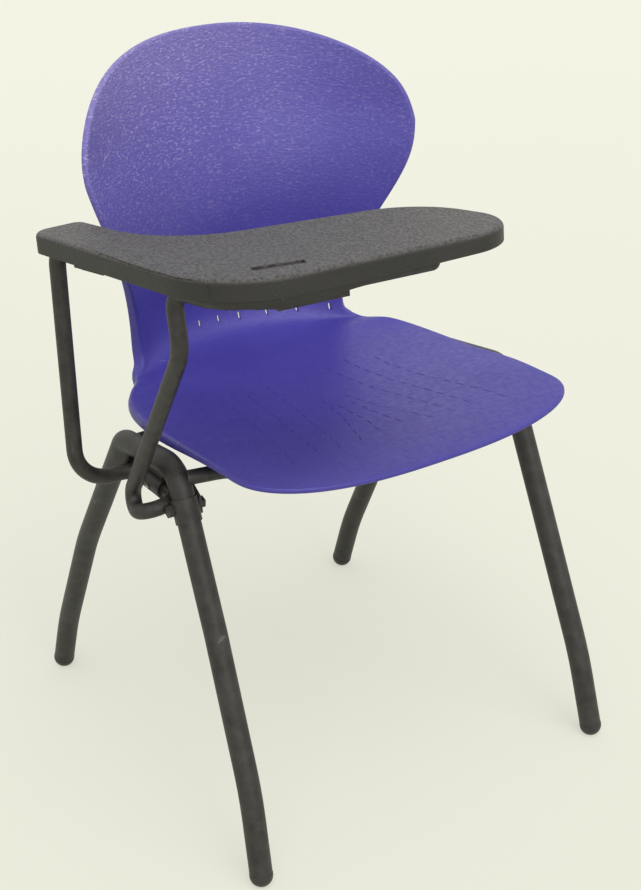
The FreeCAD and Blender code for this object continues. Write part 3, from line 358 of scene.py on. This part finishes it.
def shell_plastic():
    """Blue-violet moulded plastic: lumpy sideways grain, strongest high on the back, where a pale
    sheen and pale glints are painted in for the light it reflects.
    """
    material, tree, shader = new_material("violet_moulding")
    shader.inputs["Specular IOR Level"].default_value = 0.5
    axes = object_axes(tree)
    high = remap(tree, axes["Z"], *GLINT_ZONE_HEIGHTS)
    right_hand = remap(tree, axes["X"], *GLINT_ZONE_SIDES, GLINT_ZONE_LEAST, 1.0)
    glint_zone = calculate(tree, "MULTIPLY", high, right_hand)
    grain = use_group(tree, GRAIN, Scale=1100.0, Mottle_Scale=9.0)
    lumps = noise(tree, scaled_place(tree, LUMP_STRETCH), 1.0, 3.0, 0.62)
    coarse = bump(tree, lumps, LUMP_RELIEF, calculate(tree, "MULTIPLY_ADD", glint_zone, 0.9, 0.2))
    body_colour = blend_colours(tree, grain.outputs["Mottle"], SHELL_DARK, SHELL_LIGHT)
    # Painted sheen: paler colour high on the back, for the light it reflects
    top = remap(tree, axes["Z"], *PAINTED_SHEEN_HEIGHTS, PAINTED_SHEEN_LEAST, 1.0)
    with_painted_sheen = blend_colours(tree, calculate(tree, "MULTIPLY", glint_zone, top), body_colour, SHELL_PAINTED_SHEEN)
    # Painted glints: pale specks on the lumps, for the light they catch
    glint_noise = noise(tree, scaled_place(tree, PAINTED_GLINT_STRETCH), 1.0, 2.5, 0.55)
    painted_glints = calculate(tree, "MULTIPLY", remap(tree, glint_noise, 0.54, 0.68), glint_zone, clamp=True)
    with_painted_glints = blend_colours(tree, painted_glints, with_painted_sheen, SHELL_PAINTED_GLINT)
    scuffs = use_group(tree, SCUFFS, Amount=0.35)
    dress(
        tree, shader,
        blend_colours(tree, scuffs.outputs["Mask"], with_painted_glints, SHELL_SCUFF),
        remap(tree, lumps, 0.35, 0.7, 0.55, 0.34),
        bump(tree, grain.outputs["Height"], 0.0002, 0.35, coarse),
    )
    return material


PAINT_DARK = (0.014, 0.013, 0.011)
PAINT_LIGHT = (0.040, 0.038, 0.033)
PAINT_SCUFF = (0.20, 0.19, 0.18)


def black_paint():
    """Satin black powder coat with a fine orange peel and a little dust."""
    material, tree, shader = new_material("black_powder_coat")
    shader.inputs["Specular IOR Level"].default_value = 0.5
    grain = use_group(tree, GRAIN, Scale=1500.0, Mottle_Scale=70.0)
    colour = blend_colours(tree, grain.outputs["Mottle"], PAINT_DARK, PAINT_LIGHT)
    scuffs = use_group(tree, SCUFFS, Amount=0.4)
    dress(
        tree, shader,
        blend_colours(tree, scuffs.outputs["Mask"], colour, PAINT_SCUFF),
        remap(tree, grain.outputs["Height"], 0.3, 0.7, 0.42, 0.60),
        bump(tree, grain.outputs["Height"], 0.0003, 0.6),
    )
    return material


TABLET_SIDE_DARK = (0.012, 0.012, 0.010)
TABLET_SIDE_LIGHT = (0.024, 0.023, 0.019)
# The writing face's own colour is painted lighter than the sides', for the light falling on it
# from above
TABLET_FACE_PAINTED_LIT = (0.028, 0.027, 0.027)
# Painted sheen on the writing face, palest on the pebble's raised cells
TABLET_FACE_PAINTED_SHEEN = (0.100, 0.097, 0.095)
PEBBLE_SCALE = 330.0
PEBBLE_RELIEF = 0.0016
# How far under the face, in metres, its painted sheen and stronger pebble begin and are full
FACE_SHEEN_STARTS = 0.0035
FACE_SHEEN_FULL = 0.0010


def tablet_plastic():
    """Black plastic with a leathery pebble, its writing face painted lighter with a sheen for the
    light that falls on it.
    """
    material, tree, shader = new_material("black_pebbled_plastic")
    shader.inputs["Specular IOR Level"].default_value = 0.5
    slope = math.tan(math.radians(TABLET_TILT))
    face_level = (TABLET_HEIGHT + slope * (TABLET_LEVEL_Y + MIDDLE_Y)) * MM
    axes = object_axes(tree)
    level = calculate(tree, "MULTIPLY_ADD", axes["Y"], slope, axes["Z"])
    on_top = remap(tree, level, face_level - FACE_SHEEN_STARTS, face_level - FACE_SHEEN_FULL)
    grain = use_group(tree, GRAIN, Scale=1300.0, Mottle_Scale=12.0)
    cells = add_node(tree, "ShaderNodeTexVoronoi", feature="SMOOTH_F1")
    cells.inputs["Scale"].default_value = PEBBLE_SCALE
    tree.links.new(object_place(tree), cells.inputs["Vector"])
    distance = cells.outputs["Distance"]
    pebble = bump(tree, distance, PEBBLE_RELIEF, remap(tree, on_top, 0.0, 1.0, 0.2, 0.8))
    side = blend_colours(tree, grain.outputs["Mottle"], TABLET_SIDE_DARK, TABLET_SIDE_LIGHT)
    # Painted sheen: pale colour on the pebble's raised cells
    pebble_highlight_share = remap(tree, distance, 0.15, 0.55)
    face_with_painted_sheen = blend_colours(tree, pebble_highlight_share, TABLET_FACE_PAINTED_LIT, TABLET_FACE_PAINTED_SHEEN)
    dress(
        tree, shader,
        blend_colours(tree, on_top, side, face_with_painted_sheen),
        remap(tree, grain.outputs["Height"], 0.3, 0.7, 0.42, 0.60),
        bump(tree, grain.outputs["Height"], 0.0003, 0.5, pebble),
    )
    return material


CAP_DARK = (0.022, 0.021, 0.019)
CAP_LIGHT = (0.040, 0.038, 0.034)


def cap_plastic():
    """Smooth black plastic, slightly dusty."""
    material, tree, shader = new_material("black_cap_plastic")
    grain = use_group(tree, GRAIN, Scale=700.0, Mottle_Scale=60.0)
    dress(
        tree, shader,
        blend_colours(tree, grain.outputs["Mottle"], CAP_DARK, CAP_LIGHT),
        remap(tree, grain.outputs["Mottle"], 0.0, 1.0, 0.40, 0.58),
        bump(tree, grain.outputs["Height"], 0.0002, 0.4),
    )
    return material


ZINC_DARK = (0.26, 0.25, 0.235)
ZINC_LIGHT = (0.42, 0.41, 0.39)


def zinc():
    """Dull zinc plating."""
    material, tree, shader = new_material("dull_zinc")
    shader.inputs["Metallic"].default_value = 1.0
    grain = use_group(tree, GRAIN, Scale=2200.0, Mottle_Scale=160.0)
    dress(
        tree, shader,
        blend_colours(tree, grain.outputs["Mottle"], ZINC_DARK, ZINC_LIGHT),
        remap(tree, grain.outputs["Mottle"], 0.0, 1.0, 0.35, 0.55),
        bump(tree, grain.outputs["Height"], 0.0001, 0.4),
    )
    return material


SHELL_PLASTIC = shell_plastic()
BLACK_PAINT = black_paint()
TABLET_PLASTIC = tablet_plastic()
FINISHES = {
    "black_paint": BLACK_PAINT,
    "shell_plastic": SHELL_PLASTIC,
    "tablet_plastic": TABLET_PLASTIC,
    "cap_plastic": cap_plastic(),
    "zinc_steel": zinc(),
}


# Finishes of the pieces that keep their own shape

for part in frame["record"]["subparts"]:
    thing = NODES[part["node"]]
    thing.data.materials.clear()
    thing.data.materials.append(FINISHES[part["material_slot"]])


# Seat shell

SHELL_THICKNESS = 4.0
DISH_POWER = 2.2
SHELL_STATIONS = [
    # middle y, middle z, half width, edge forward, edge up, depth of the turned edge
    (-222, 432, 207, 0, 8, 6),
    (-187, 440, 207, 0, 8, 6),
    (-150, 443.5, 207, 0, 9, 6),
    (-99, 442, 207, 0, 10, 6.5),
    (-40, 437.5, 207.5, 0, 11.5, 8),
    (20, 432.5, 205, 0, 9.5, 11),
    (80, 430, 203, 2, 7, 12),
    (135, 429.5, 194, 3, 7, 12),
    (185, 430, 175.5, 14, 6, 12),
    (219, 432, 163, 27, 4, 12),
    (241, 439, 148, 34, 3, 13),
    (252, 456, 145, 39, 2, 13),
    (252.5, 485, 147, 42, 0, 12.5),
    (248, 520, 155, 49, 0, 11),
    (243, 560, 169, 62, 0, 9),
    (241, 605, 188.5, 80, 0, 7),
    (248, 650, 207, 96, 0, 7),
    (261, 692, 216, 101.5, 0, 7),
    (270.5, 730, 216, 106, 0, 7),
    (278, 768, 216, 110, 0, 7),
    (284, 806, 216, 114, 0, 7),
]
FRONT_START_Y = -99.0
FRONT_END_Y = -178.25
FRONT_POWER = 2.83
TOP_START_Z = 680.0
TOP_END_Z = 794.0
TOP_POWER = 2.26
EDGE_ROUND = 3.0
RIM_WALL = 3.2
INNER_ROUND = 2.0
INNER_ROUND_LEAST = 0.1
# In front of this y, and past this station, one y or one height is one place along the shell
SEAT_REAR_Y = 100.0
BACK_FIRST_STATION = 12
TABLE_STEPS = 2000
# How far from a point its neighbours are taken to find which way the skin faces
PROBE_X = 0.5
PROBE_STEP = 0.01


def station_values(y, z, half, forward, up, lip):
    """Middle y and z, edge x, how far the edge comes forward and up, and the turned edge."""
    rise = math.hypot(forward, up)
    slope = math.atan(DISH_POWER * rise / half)
    edge_x = half - lip * math.sin(slope)
    deep = rise
    if forward > up:
        deep += lip * math.cos(slope)
    return y, z, edge_x, -deep * forward / rise, deep * up / rise, lip


class Stations:
    """Smooth curves through the shell's stations."""

    def __init__(self, rows):
        self.values = np.array([station_values(*row) for row in rows], float)
        count = len(rows)
        system = np.zeros((count, count))
        right = np.zeros_like(self.values)
        system[0, 0] = system[-1, -1] = 1.0
        for i in range(1, count - 1):
            system[i, i - 1:i + 2] = (1.0, 4.0, 1.0)
            right[i] = 6 * (self.values[i + 1] - 2 * self.values[i] + self.values[i - 1])
        self.second = np.linalg.solve(system, right)
        self.steps = np.linspace(0, count - 1, TABLE_STEPS)
        self.table = np.array([self.at(step) for step in self.steps])

    def at(self, step):
        i = int(min(max(math.floor(step), 0), len(self.values) - 2))
        u = step - i
        v = 1 - u
        return (
            self.values[i] * v + self.values[i + 1] * u
            + ((v ** 3 - v) * self.second[i] + (u ** 3 - u) * self.second[i + 1]) / 6
        )

    def step_at_y(self, y):
        front = self.table[:, 0] < SEAT_REAR_Y
        return float(np.interp(y, self.table[front, 0], self.steps[front]))

    def step_at_z(self, z):
        back = self.steps > BACK_FIRST_STATION
        return float(np.interp(z, self.table[back, 1], self.steps[back]))


STATIONS = Stations(SHELL_STATIONS)


def skin_point(step, x):
    """A point of the shell's sitting side."""
    y, z, edge_x, dish_y, dish_z, _ = STATIONS.at(step)
    share = (abs(x) / edge_x) ** DISH_POWER
    return Vector((x, y + dish_y * share, z + dish_z * share))


def skin_normal(step, x):
    """Square to the shell, towards the sitter."""
    across = skin_point(step, x + PROBE_X) - skin_point(step, x - PROBE_X)
    along = skin_point(step + PROBE_STEP, x) - skin_point(step - PROBE_STEP, x)
    return across.cross(along).normalized()


SHELL_COLUMNS = 96
FRONT_ROWS = 24
MIDDLE_ROWS = 132
TOP_ROWS = 28
LENGTH_SAMPLES = 600
CORNER_STEPS = 5
TIP_STEPS = 6
HOLLOW_STEPS = 4


def squared_oval(across, along, power):
    """A square's inside laid over one end of a squared oval, with no pinched corner."""
    a = abs(across)
    b = abs(along)
    x = across * (1 - b ** power / 2) ** (1 / power)
    y = along * (1 - a ** power / 2) ** (1 / power)
    return x, y


def shell_steps():
    """Station steps where the front end starts, where the top end starts, and of the even rows
    between them."""
    first = STATIONS.step_at_y(FRONT_START_Y)
    last = STATIONS.step_at_z(TOP_START_Z)
    fine = np.linspace(first, last, LENGTH_SAMPLES)
    middle = np.array([STATIONS.at(step)[:2] for step in fine])
    lengths = np.concatenate([[0], np.cumsum(np.hypot(*np.diff(middle, axis=0).T))])
    even = np.linspace(0, lengths[-1], MIDDLE_ROWS)
    return first, last, np.interp(even, lengths, fine)


def shell_grid(inset):
    """Steps and x of every grid point, for an outline drawn in by a distance."""
    first, last, steps = shell_steps()
    shares = np.linspace(-1, 1, SHELL_COLUMNS + 1)
    rows = []
    front_edge = STATIONS.at(first)[2] - inset
    front_reach = FRONT_START_Y - FRONT_END_Y - inset
    for along in np.linspace(1, 0, FRONT_ROWS)[:-1]:
        row = []
        for share in shares:
            x, y = squared_oval(share, along, FRONT_POWER)
            row.append((STATIONS.step_at_y(FRONT_START_Y - front_reach * y), front_edge * x))
        rows.append(row)
    for step in steps:
        edge = STATIONS.at(step)[2] - inset
        rows.append([(step, edge * share) for share in shares])
    top_edge = STATIONS.at(last)[2] - inset
    top_reach = TOP_END_Z - TOP_START_Z - inset
    for along in np.linspace(0, 1, TOP_ROWS)[1:]:
        row = []
        for share in shares:
            x, y = squared_oval(share, along, TOP_POWER)
            row.append((STATIONS.step_at_z(TOP_START_Z + top_reach * y), top_edge * x))
        rows.append(row)
    return rows


def perimeter(rows, columns):
    """Indices of the outer points of a grid, once round."""
    loop = [(0, j) for j in range(columns)]
    loop += [(i, columns - 1) for i in range(1, rows)]
    loop += [(rows - 1, j) for j in range(columns - 2, -1, -1)]
    loop += [(i, 0) for i in range(rows - 2, 0, -1)]
    return loop


def arc_points(centre, radius, start, end, steps):
    points = []
    x, y = centre
    for i in range(steps + 1):
        angle = math.radians(start + (end - start) * i / steps)
        points.append((x + radius * math.cos(angle), y + radius * math.sin(angle)))
    return points


def rim_profile(lip):
    """Section of the shell's edge as (outward, up) pairs from the upper to the under side:
    a round corner, the turned-down wall, its round tip, and the hollow corner inside."""
    tip = RIM_WALL / 2
    hollow = min(max(lip - tip - SHELL_THICKNESS, INNER_ROUND_LEAST), INNER_ROUND)
    points = arc_points((-EDGE_ROUND, -EDGE_ROUND), EDGE_ROUND, 90, 0, CORNER_STEPS)
    turned = arc_points((-tip, -lip + tip), tip, 0, -180, TIP_STEPS)
    for out, up in turned:
        if out < -tip:
            up = min(up, -SHELL_THICKNESS - hollow)
        points.append((out, up))
    inner = (-RIM_WALL - hollow, -SHELL_THICKNESS - hollow)
    return points + arc_points(inner, hollow, 0, 90, HOLLOW_STEPS)


def shell_mesh():
    upper_rows = shell_grid(EDGE_ROUND)
    under_rows = shell_grid(RIM_WALL + INNER_ROUND)
    rows = len(upper_rows)
    columns = SHELL_COLUMNS + 1
    verts = [skin_point(step, x) for row in upper_rows for step, x in row]
    faces = grid_faces(rows, columns)
    under_start = len(verts)
    for row in under_rows:
        for step, x in row:
            verts.append(skin_point(step, x) - skin_normal(step, x) * SHELL_THICKNESS)
    faces += grid_faces(rows, columns, under_start)
    loop = perimeter(rows, columns)
    count = len(loop)
    rings = []
    for k, (i, j) in enumerate(loop):
        here = verts[i * columns + j]
        before = verts[loop[k - 1][0] * columns + loop[k - 1][1]]
        after = verts[loop[(k + 1) % count][0] * columns + loop[(k + 1) % count][1]]
        step, x = upper_rows[i][j]
        normal = skin_normal(step, x)
        along = (after - before).normalized()
        outward = along.cross(normal).normalized()
        corner = here + outward * EDGE_ROUND
        section = rim_profile(STATIONS.at(step)[5])
        indices = [i * columns + j]
        for out, up in section[1:-1]:
            indices.append(len(verts))
            verts.append(corner + outward * out + normal * up)
        indices.append(under_start + i * columns + j)
        rings.append(indices)
    for k in range(count):
        first = rings[k]
        second = rings[(k + 1) % count]
        for m in range(len(first) - 1):
            faces.append((first[m], second[m], second[m + 1], first[m + 1]))
    return verts, faces


# Slots through the lower back, as x and height places
SLOT_PLACES = [
    (-60, 452), (-35, 453), (-8, 452), (20, 450), (55, 449), (90, 449), (125, 449),
]
SLOT_WIDTH = 3.0
SLOT_HEIGHT = 9.0
SLOT_CUT_Y = (205.0, 290.0)
# Fine dashed grooves that fan out towards the front, as x and y places on the right-hand half
GROOVES = [
    [(104, 108), (104, 60), (112, 0), (136, -108)],
    [(71, 104), (73, 66), (79, 20), (101, -104)],
    [(41, 98), (49, 23), (67, -69), (75, -104)],
    [(14, 22), (24, -32), (48, -104)],
    [(8, 0), (11, -60), (18, -98)],
]
DASH = 13.0
DASH_GAP = 6.0
GROOVE_WIDTH = 1.5
GROOVE_DEPTH = 0.7
LENS_RINGS = 7
LENS_SIDES = 8
LENS_BLUNT = 0.04


def along_line(points, distance):
    """A place and a direction at a distance along a bent line."""
    for start, end in zip(points, points[1:]):
        run = Vector(end) - Vector(start)
        if distance <= run.length:
            return Vector(start) + run.normalized() * distance, run.normalized()
        distance -= run.length
    return None


def lens(centre, along, up, length, width, depth):
    """A thin boat-shaped cutter lying in the surface."""
    side = along.cross(up).normalized()
    verts = []
    for i in range(LENS_RINGS):
        share = -1 + 2 * i / (LENS_RINGS - 1)
        swell = max(1 - share * share, LENS_BLUNT) ** 0.5
        for k in range(LENS_SIDES):
            angle = 2 * math.pi * k / LENS_SIDES
            verts.append(
                centre + along * (share * length / 2)
                + side * (math.cos(angle) * width / 2 * swell)
                + up * (math.sin(angle) * depth * swell)
            )
    faces = grid_faces(LENS_RINGS, LENS_SIDES, closed=True)
    return verts, faces + end_faces(0, len(verts), LENS_SIDES)


def groove_cutters():
    verts = []
    faces = []
    for line in GROOVES:
        for side in (-1, 1):
            points = [(side * x, y) for x, y in line]
            distance = DASH / 2
            while True:
                found = along_line(points, distance)
                if found is None:
                    break
                spot, run = found
                step = STATIONS.step_at_y(spot.y)
                normal = skin_normal(step, spot.x)
                centre = skin_point(step, spot.x)
                ahead = skin_point(STATIONS.step_at_y(spot.y + run.y), spot.x + run.x) - centre
                more, quads = lens(
                    centre, ahead.normalized(), normal, DASH, GROOVE_WIDTH, GROOVE_DEPTH
                )
                faces += [tuple(index + len(verts) for index in quad) for quad in quads]
                verts += more
                distance += DASH + DASH_GAP
    return verts, faces


def slot_cutters():
    """Rounded upright bars through the lower back."""
    verts = []
    faces = []
    end_radius = SLOT_WIDTH / 2
    reach = SLOT_HEIGHT / 2 - end_radius
    for x, z in SLOT_PLACES:
        outline = arc_points((x, z + reach), end_radius, 0, 180, TIP_STEPS)
        outline += arc_points((x, z - reach), end_radius, 180, 360, TIP_STEPS)
        start = len(verts)
        for y in SLOT_CUT_Y:
            verts += [Vector((px, y, pz)) for px, pz in outline]
        count = len(outline)
        faces += grid_faces(2, count, start, closed=True)
        faces += end_faces(start, len(verts), count)
    return verts, faces


def cut_away(thing, verts, faces):
    """Take a group of cutters out of a piece."""
    cutter = mesh_object("cutter", verts, faces, SHELL_PLASTIC)
    knife = thing.modifiers.new("cut", "BOOLEAN")
    knife.operation = "DIFFERENCE"
    knife.solver = "MANIFOLD"
    knife.object = cutter
    bpy.context.view_layer.update()
    shown = thing.evaluated_get(bpy.context.evaluated_depsgraph_get())
    mesh = bpy.data.meshes.new_from_object(shown)
    thing.modifiers.clear()
    old = thing.data
    thing.data = mesh
    bpy.data.meshes.remove(old)
    bpy.data.objects.remove(cutter)


SHELL_CREASE = 38.0

shell = mesh_object("seat_shell_moulding", *shell_mesh(), SHELL_PLASTIC)
cut_away(shell, *slot_cutters())
cut_away(shell, *groove_cutters())
smooth(shell.data, SHELL_CREASE)
belongs(shell, CHAIR)
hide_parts("seat_shell")


# Bosses under the seat that the screws go into

# Each boss: x, y and the height of its lower end
BOSS_PLACES = [(-95, -81, 426), (95, -81, 426), (-95, 85, 418), (95, 85, 418)]
BOSS_RADIUS = 8.0
BOSS_CHAMFER = 0.8
BOSS_FACE_RADIUS = 3.2
BOSS_ROOT_RADIUS = 13.0
BOSS_FLARE_RADIUS = 9.2
BOSS_FLARE_HEIGHT = 6.0
BOSS_SINK = 2.0


def boss(x, y, foot):
    """A round boss with a flared root, from the mount plate up into the skin."""
    tall = skin_point(STATIONS.step_at_y(y), x).z - BOSS_SINK - foot
    profile = [
        (0, BOSS_FACE_RADIUS),
        (0, BOSS_RADIUS - BOSS_CHAMFER),
        (BOSS_CHAMFER, BOSS_RADIUS),
        (tall - BOSS_FLARE_HEIGHT, BOSS_RADIUS),
        (tall - BOSS_FLARE_HEIGHT / 2, BOSS_FLARE_RADIUS),
        (tall, BOSS_ROOT_RADIUS),
    ]
    return lathe(profile, Vector((x, y, foot)), Vector((0, 0, 1)))


for number, spot in enumerate(BOSS_PLACES, 1):
    piece = mesh_object("seat_boss_%d" % number, *boss(*spot), SHELL_PLASTIC)
    belongs(piece, CHAIR)


# Writing tablet: the deep pad under its near edge and the fine lines on its face

TABLET_RIM = 20.0
# The outer edge from the right of the front round the near corner, as x and y places
NEAR_EDGE = [
    (-114.0, -222.3), (-118.0, -221.9), (-124.0, -221.2), (-134.0, -220.0), (-146.0, -218.8),
    (-158.0, -217.4), (-171.0, -216.0), (-190.0, -213.7), (-206.0, -210.7), (-218.0, -206.6),
    (-230.0, -200.2), (-241.0, -192.0), (-250.0, -183.2), (-258.0, -172.5), (-264.0, -161.5),
]
PAD_DEPTHS = [0.6, 3.5, 5.5, 6.2, 7.2, 8.6, 9.6, 10.2, 10.4, 10.2, 9.4, 8.0, 5.2, 2.4, 0.5]
PAD_WIDTH = 42.0
PAD_INSET = 1.2
PAD_SUNK = 1.5
PAD_CORNER = 3.0
PAD_CORNER_SHARE = 0.45
PAD_BACK_SHARE = 1.3
PAD_FRONT_CUT = 0.3
PAD_BACK_CUT = 0.5


def tablet_point(x, y, depth):
    """A point a depth under the writing face, below a place seen from above."""
    tilt = math.radians(TABLET_TILT)
    fall = (y - TABLET_LEVEL_Y) * math.tan(tilt)
    return Vector((x, y - depth * math.sin(tilt), TABLET_HEIGHT - fall - depth * math.cos(tilt)))


def pad_section(depth):
    """Section of the pad as (inward, down) pairs, round at its two lower edges."""
    corner = min(PAD_CORNER, depth * PAD_CORNER_SHARE)
    front = PAD_INSET
    back = PAD_WIDTH
    deeper = depth * PAD_BACK_SHARE
    front_cut = corner * PAD_FRONT_CUT
    back_cut = corner * PAD_BACK_CUT
    return [
        (front, -PAD_SUNK),
        (front, depth - corner),
        (front + front_cut, depth - front_cut),
        (front + corner, depth),
        (back - 2 * corner, deeper),
        (back - back_cut, deeper - back_cut),
        (back, deeper - 2 * corner),
        (back, -PAD_SUNK),
    ]


def pad_mesh():
    verts = []
    count = len(NEAR_EDGE)
    for i, (x, y) in enumerate(NEAR_EDGE):
        before = Vector(NEAR_EDGE[max(i - 1, 0)])
        after = Vector(NEAR_EDGE[min(i + 1, count - 1)])
        run = (after - before).normalized()
        inward = Vector((run.y, -run.x))
        if inward.y < 0:
            inward = -inward
        for across, down in pad_section(PAD_DEPTHS[i]):
            spot = Vector((x, y)) + inward * across
            verts.append(tablet_point(spot.x, spot.y, TABLET_RIM + down))
    ring = len(pad_section(PAD_DEPTHS[0]))
    faces = grid_faces(count, ring, closed=True)
    return verts, faces + end_faces(0, len(verts), ring)


pad = mesh_object("front_edge_pad", *pad_mesh(), TABLET_PLASTIC, smooth_angle=50.0)
belongs(pad, ARM)

LINE_SIDES = 8
LINE_SINK = 0.3
LINE_TAPER = 0.5
OUTER_LINE = [
    (-287.5, 20.0), (-287.5, -18.5), (-284.2, -64.4),
    (-280.3, -104.8), (-274.9, -141.1), (-266.0, -164.0),
]
# Raised lines on the face, as x and y places along each, with how thick it is
FACE_LINES = [
    (OUTER_LINE, 0.8),
    ([(-253.8, -20.8), (-247.3, -42.5)], 0.6),
    ([(-244.5, -92.9), (-234.1, -122.3)], 0.6),
]
for number, (line, radius) in enumerate(FACE_LINES, 1):
    points = [tablet_point(x, y, radius * LINE_SINK) for x, y in line]
    tip = radius * LINE_TAPER
    radii = [tip] + [radius] * (len(points) - 2) + [tip]
    bar = tube_along(points, radii, LINE_SIDES)
    piece = mesh_object("tablet_face_line_%d" % number, *bar, TABLET_PLASTIC)
    belongs(piece, ARM)


# Gusset inside the right side frame, behind the hinge, as y and height places

GUSSET_OUTLINE = [
    (60, 399), (60, 394), (92, 386), (104, 371), (110, 352), (123, 352), (128, 378), (112, 404),
]
GUSSET_X = (-204.3, -201.9)


def plate_mesh(outline, x_range):
    verts = [Vector((x, y, z)) for x in x_range for y, z in outline]
    count = len(outline)
    return verts, grid_faces(2, count, closed=True) + end_faces(0, 2 * count, count)


gusset = mesh_object("hinge_gusset", *plate_mesh(GUSSET_OUTLINE, GUSSET_X), BLACK_PAINT)
belongs(gusset, CHAIR)


# Floor, backdrop and lights

PAPER_NEAR = (0.86, 0.86, 0.75)
PAPER_FAR = (0.91, 0.91, 0.80)
PAPER_GLOW = 0.6
PAPER_BOUNCE = (0.42, 0.42, 0.38)
PAPER_HALF = 12.0
PAPER_DROP = 0.0005
# Metres towards the camera between which the paper goes from far to near
PAPER_FADE = (-3.2, 0.4)
TOWARDS_CAMERA = Vector((-0.55, -0.83, 0.0))
SKY_COLOUR = (1.0, 0.99, 0.95, 1.0)
SKY_STRENGTH = 0.55
SKY_SEEN_MORE = 0.45
# Each sun: name, the way to it, its strength and its spread in degrees
SUNS = [
    ("overhead", (-0.15, -0.55, 1.0), 1.35, 60.0),
    ("front", (-0.1, -0.9, 0.35), 0.45, 20.0),
]


def lit_share(tree):
    """One for rays that see paper or sky itself, nought for light that bounces off them."""
    path = add_node(tree, "ShaderNodeLightPath")
    seen = path.outputs["Is Camera Ray"]
    for ray in ("Is Glossy Ray", "Is Transmission Ray"):
        seen = calculate(tree, "MAXIMUM", seen, path.outputs[ray])
    return seen


def paper_material():
    """Pale paper, a little darker in front, that throws back less light than it shows."""
    material, tree, shader = new_material("pale_paper")
    axes = object_axes(tree)
    nearness = calculate(
        tree, "ADD",
        calculate(tree, "MULTIPLY", axes["X"], TOWARDS_CAMERA.x),
        calculate(tree, "MULTIPLY", axes["Y"], TOWARDS_CAMERA.y),
    )
    shown = blend_colours(tree, remap(tree, nearness, *PAPER_FADE), PAPER_FAR, PAPER_NEAR)
    colour = blend_colours(tree, lit_share(tree), PAPER_BOUNCE, shown)
    tree.links.new(colour, shader.inputs["Base Color"])
    shader.inputs["Roughness"].default_value = 0.9
    shader.inputs["Specular IOR Level"].default_value = 0.0
    glow = add_node(tree, "ShaderNodeEmission")
    tree.links.new(shown, glow.inputs["Color"])
    mix = add_node(tree, "ShaderNodeMixShader")
    tree.links.new(calculate(tree, "MULTIPLY", lit_share(tree), PAPER_GLOW), mix.inputs["Fac"])
    tree.links.new(shader.outputs["BSDF"], mix.inputs[1])
    tree.links.new(glow.outputs["Emission"], mix.inputs[2])
    tree.links.new(mix.outputs["Shader"], tree.nodes["Material Output"].inputs["Surface"])
    return material


def add_stage():
    mesh = bpy.data.meshes.new("floor")
    wide = PAPER_HALF
    corners = [(-wide, -wide, 0), (wide, -wide, 0), (wide, wide, 0), (-wide, wide, 0)]
    mesh.from_pydata(corners, [], [(0, 1, 2, 3)])
    mesh.materials.append(paper_material())
    floor = bpy.data.objects.new("floor", mesh)
    floor.location.z = -PAPER_DROP
    bpy.context.collection.objects.link(floor)


def add_sun(name, way, strength, spread):
    """A lamp far away, its softness set by its spread in degrees."""
    data = bpy.data.lights.new(name, "SUN")
    data.energy = strength
    data.angle = math.radians(spread)
    lamp = bpy.data.objects.new(name, data)
    lamp.rotation_euler = Vector(way).to_track_quat("Z", "Y").to_euler()
    bpy.context.collection.objects.link(lamp)


def add_world():
    world = bpy.data.worlds.new("studio")
    bpy.context.scene.world = world
    world.use_nodes = True
    tree = world.node_tree
    surface = tree.nodes["Background"]
    surface.inputs["Color"].default_value = SKY_COLOUR
    strength = calculate(tree, "MULTIPLY_ADD", lit_share(tree), SKY_SEEN_MORE, SKY_STRENGTH)
    tree.links.new(strength, surface.inputs["Strength"])


add_stage()
for sun in SUNS:
    add_sun(*sun)
add_world()

bpy.context.scene.view_settings.view_transform = "Standard"
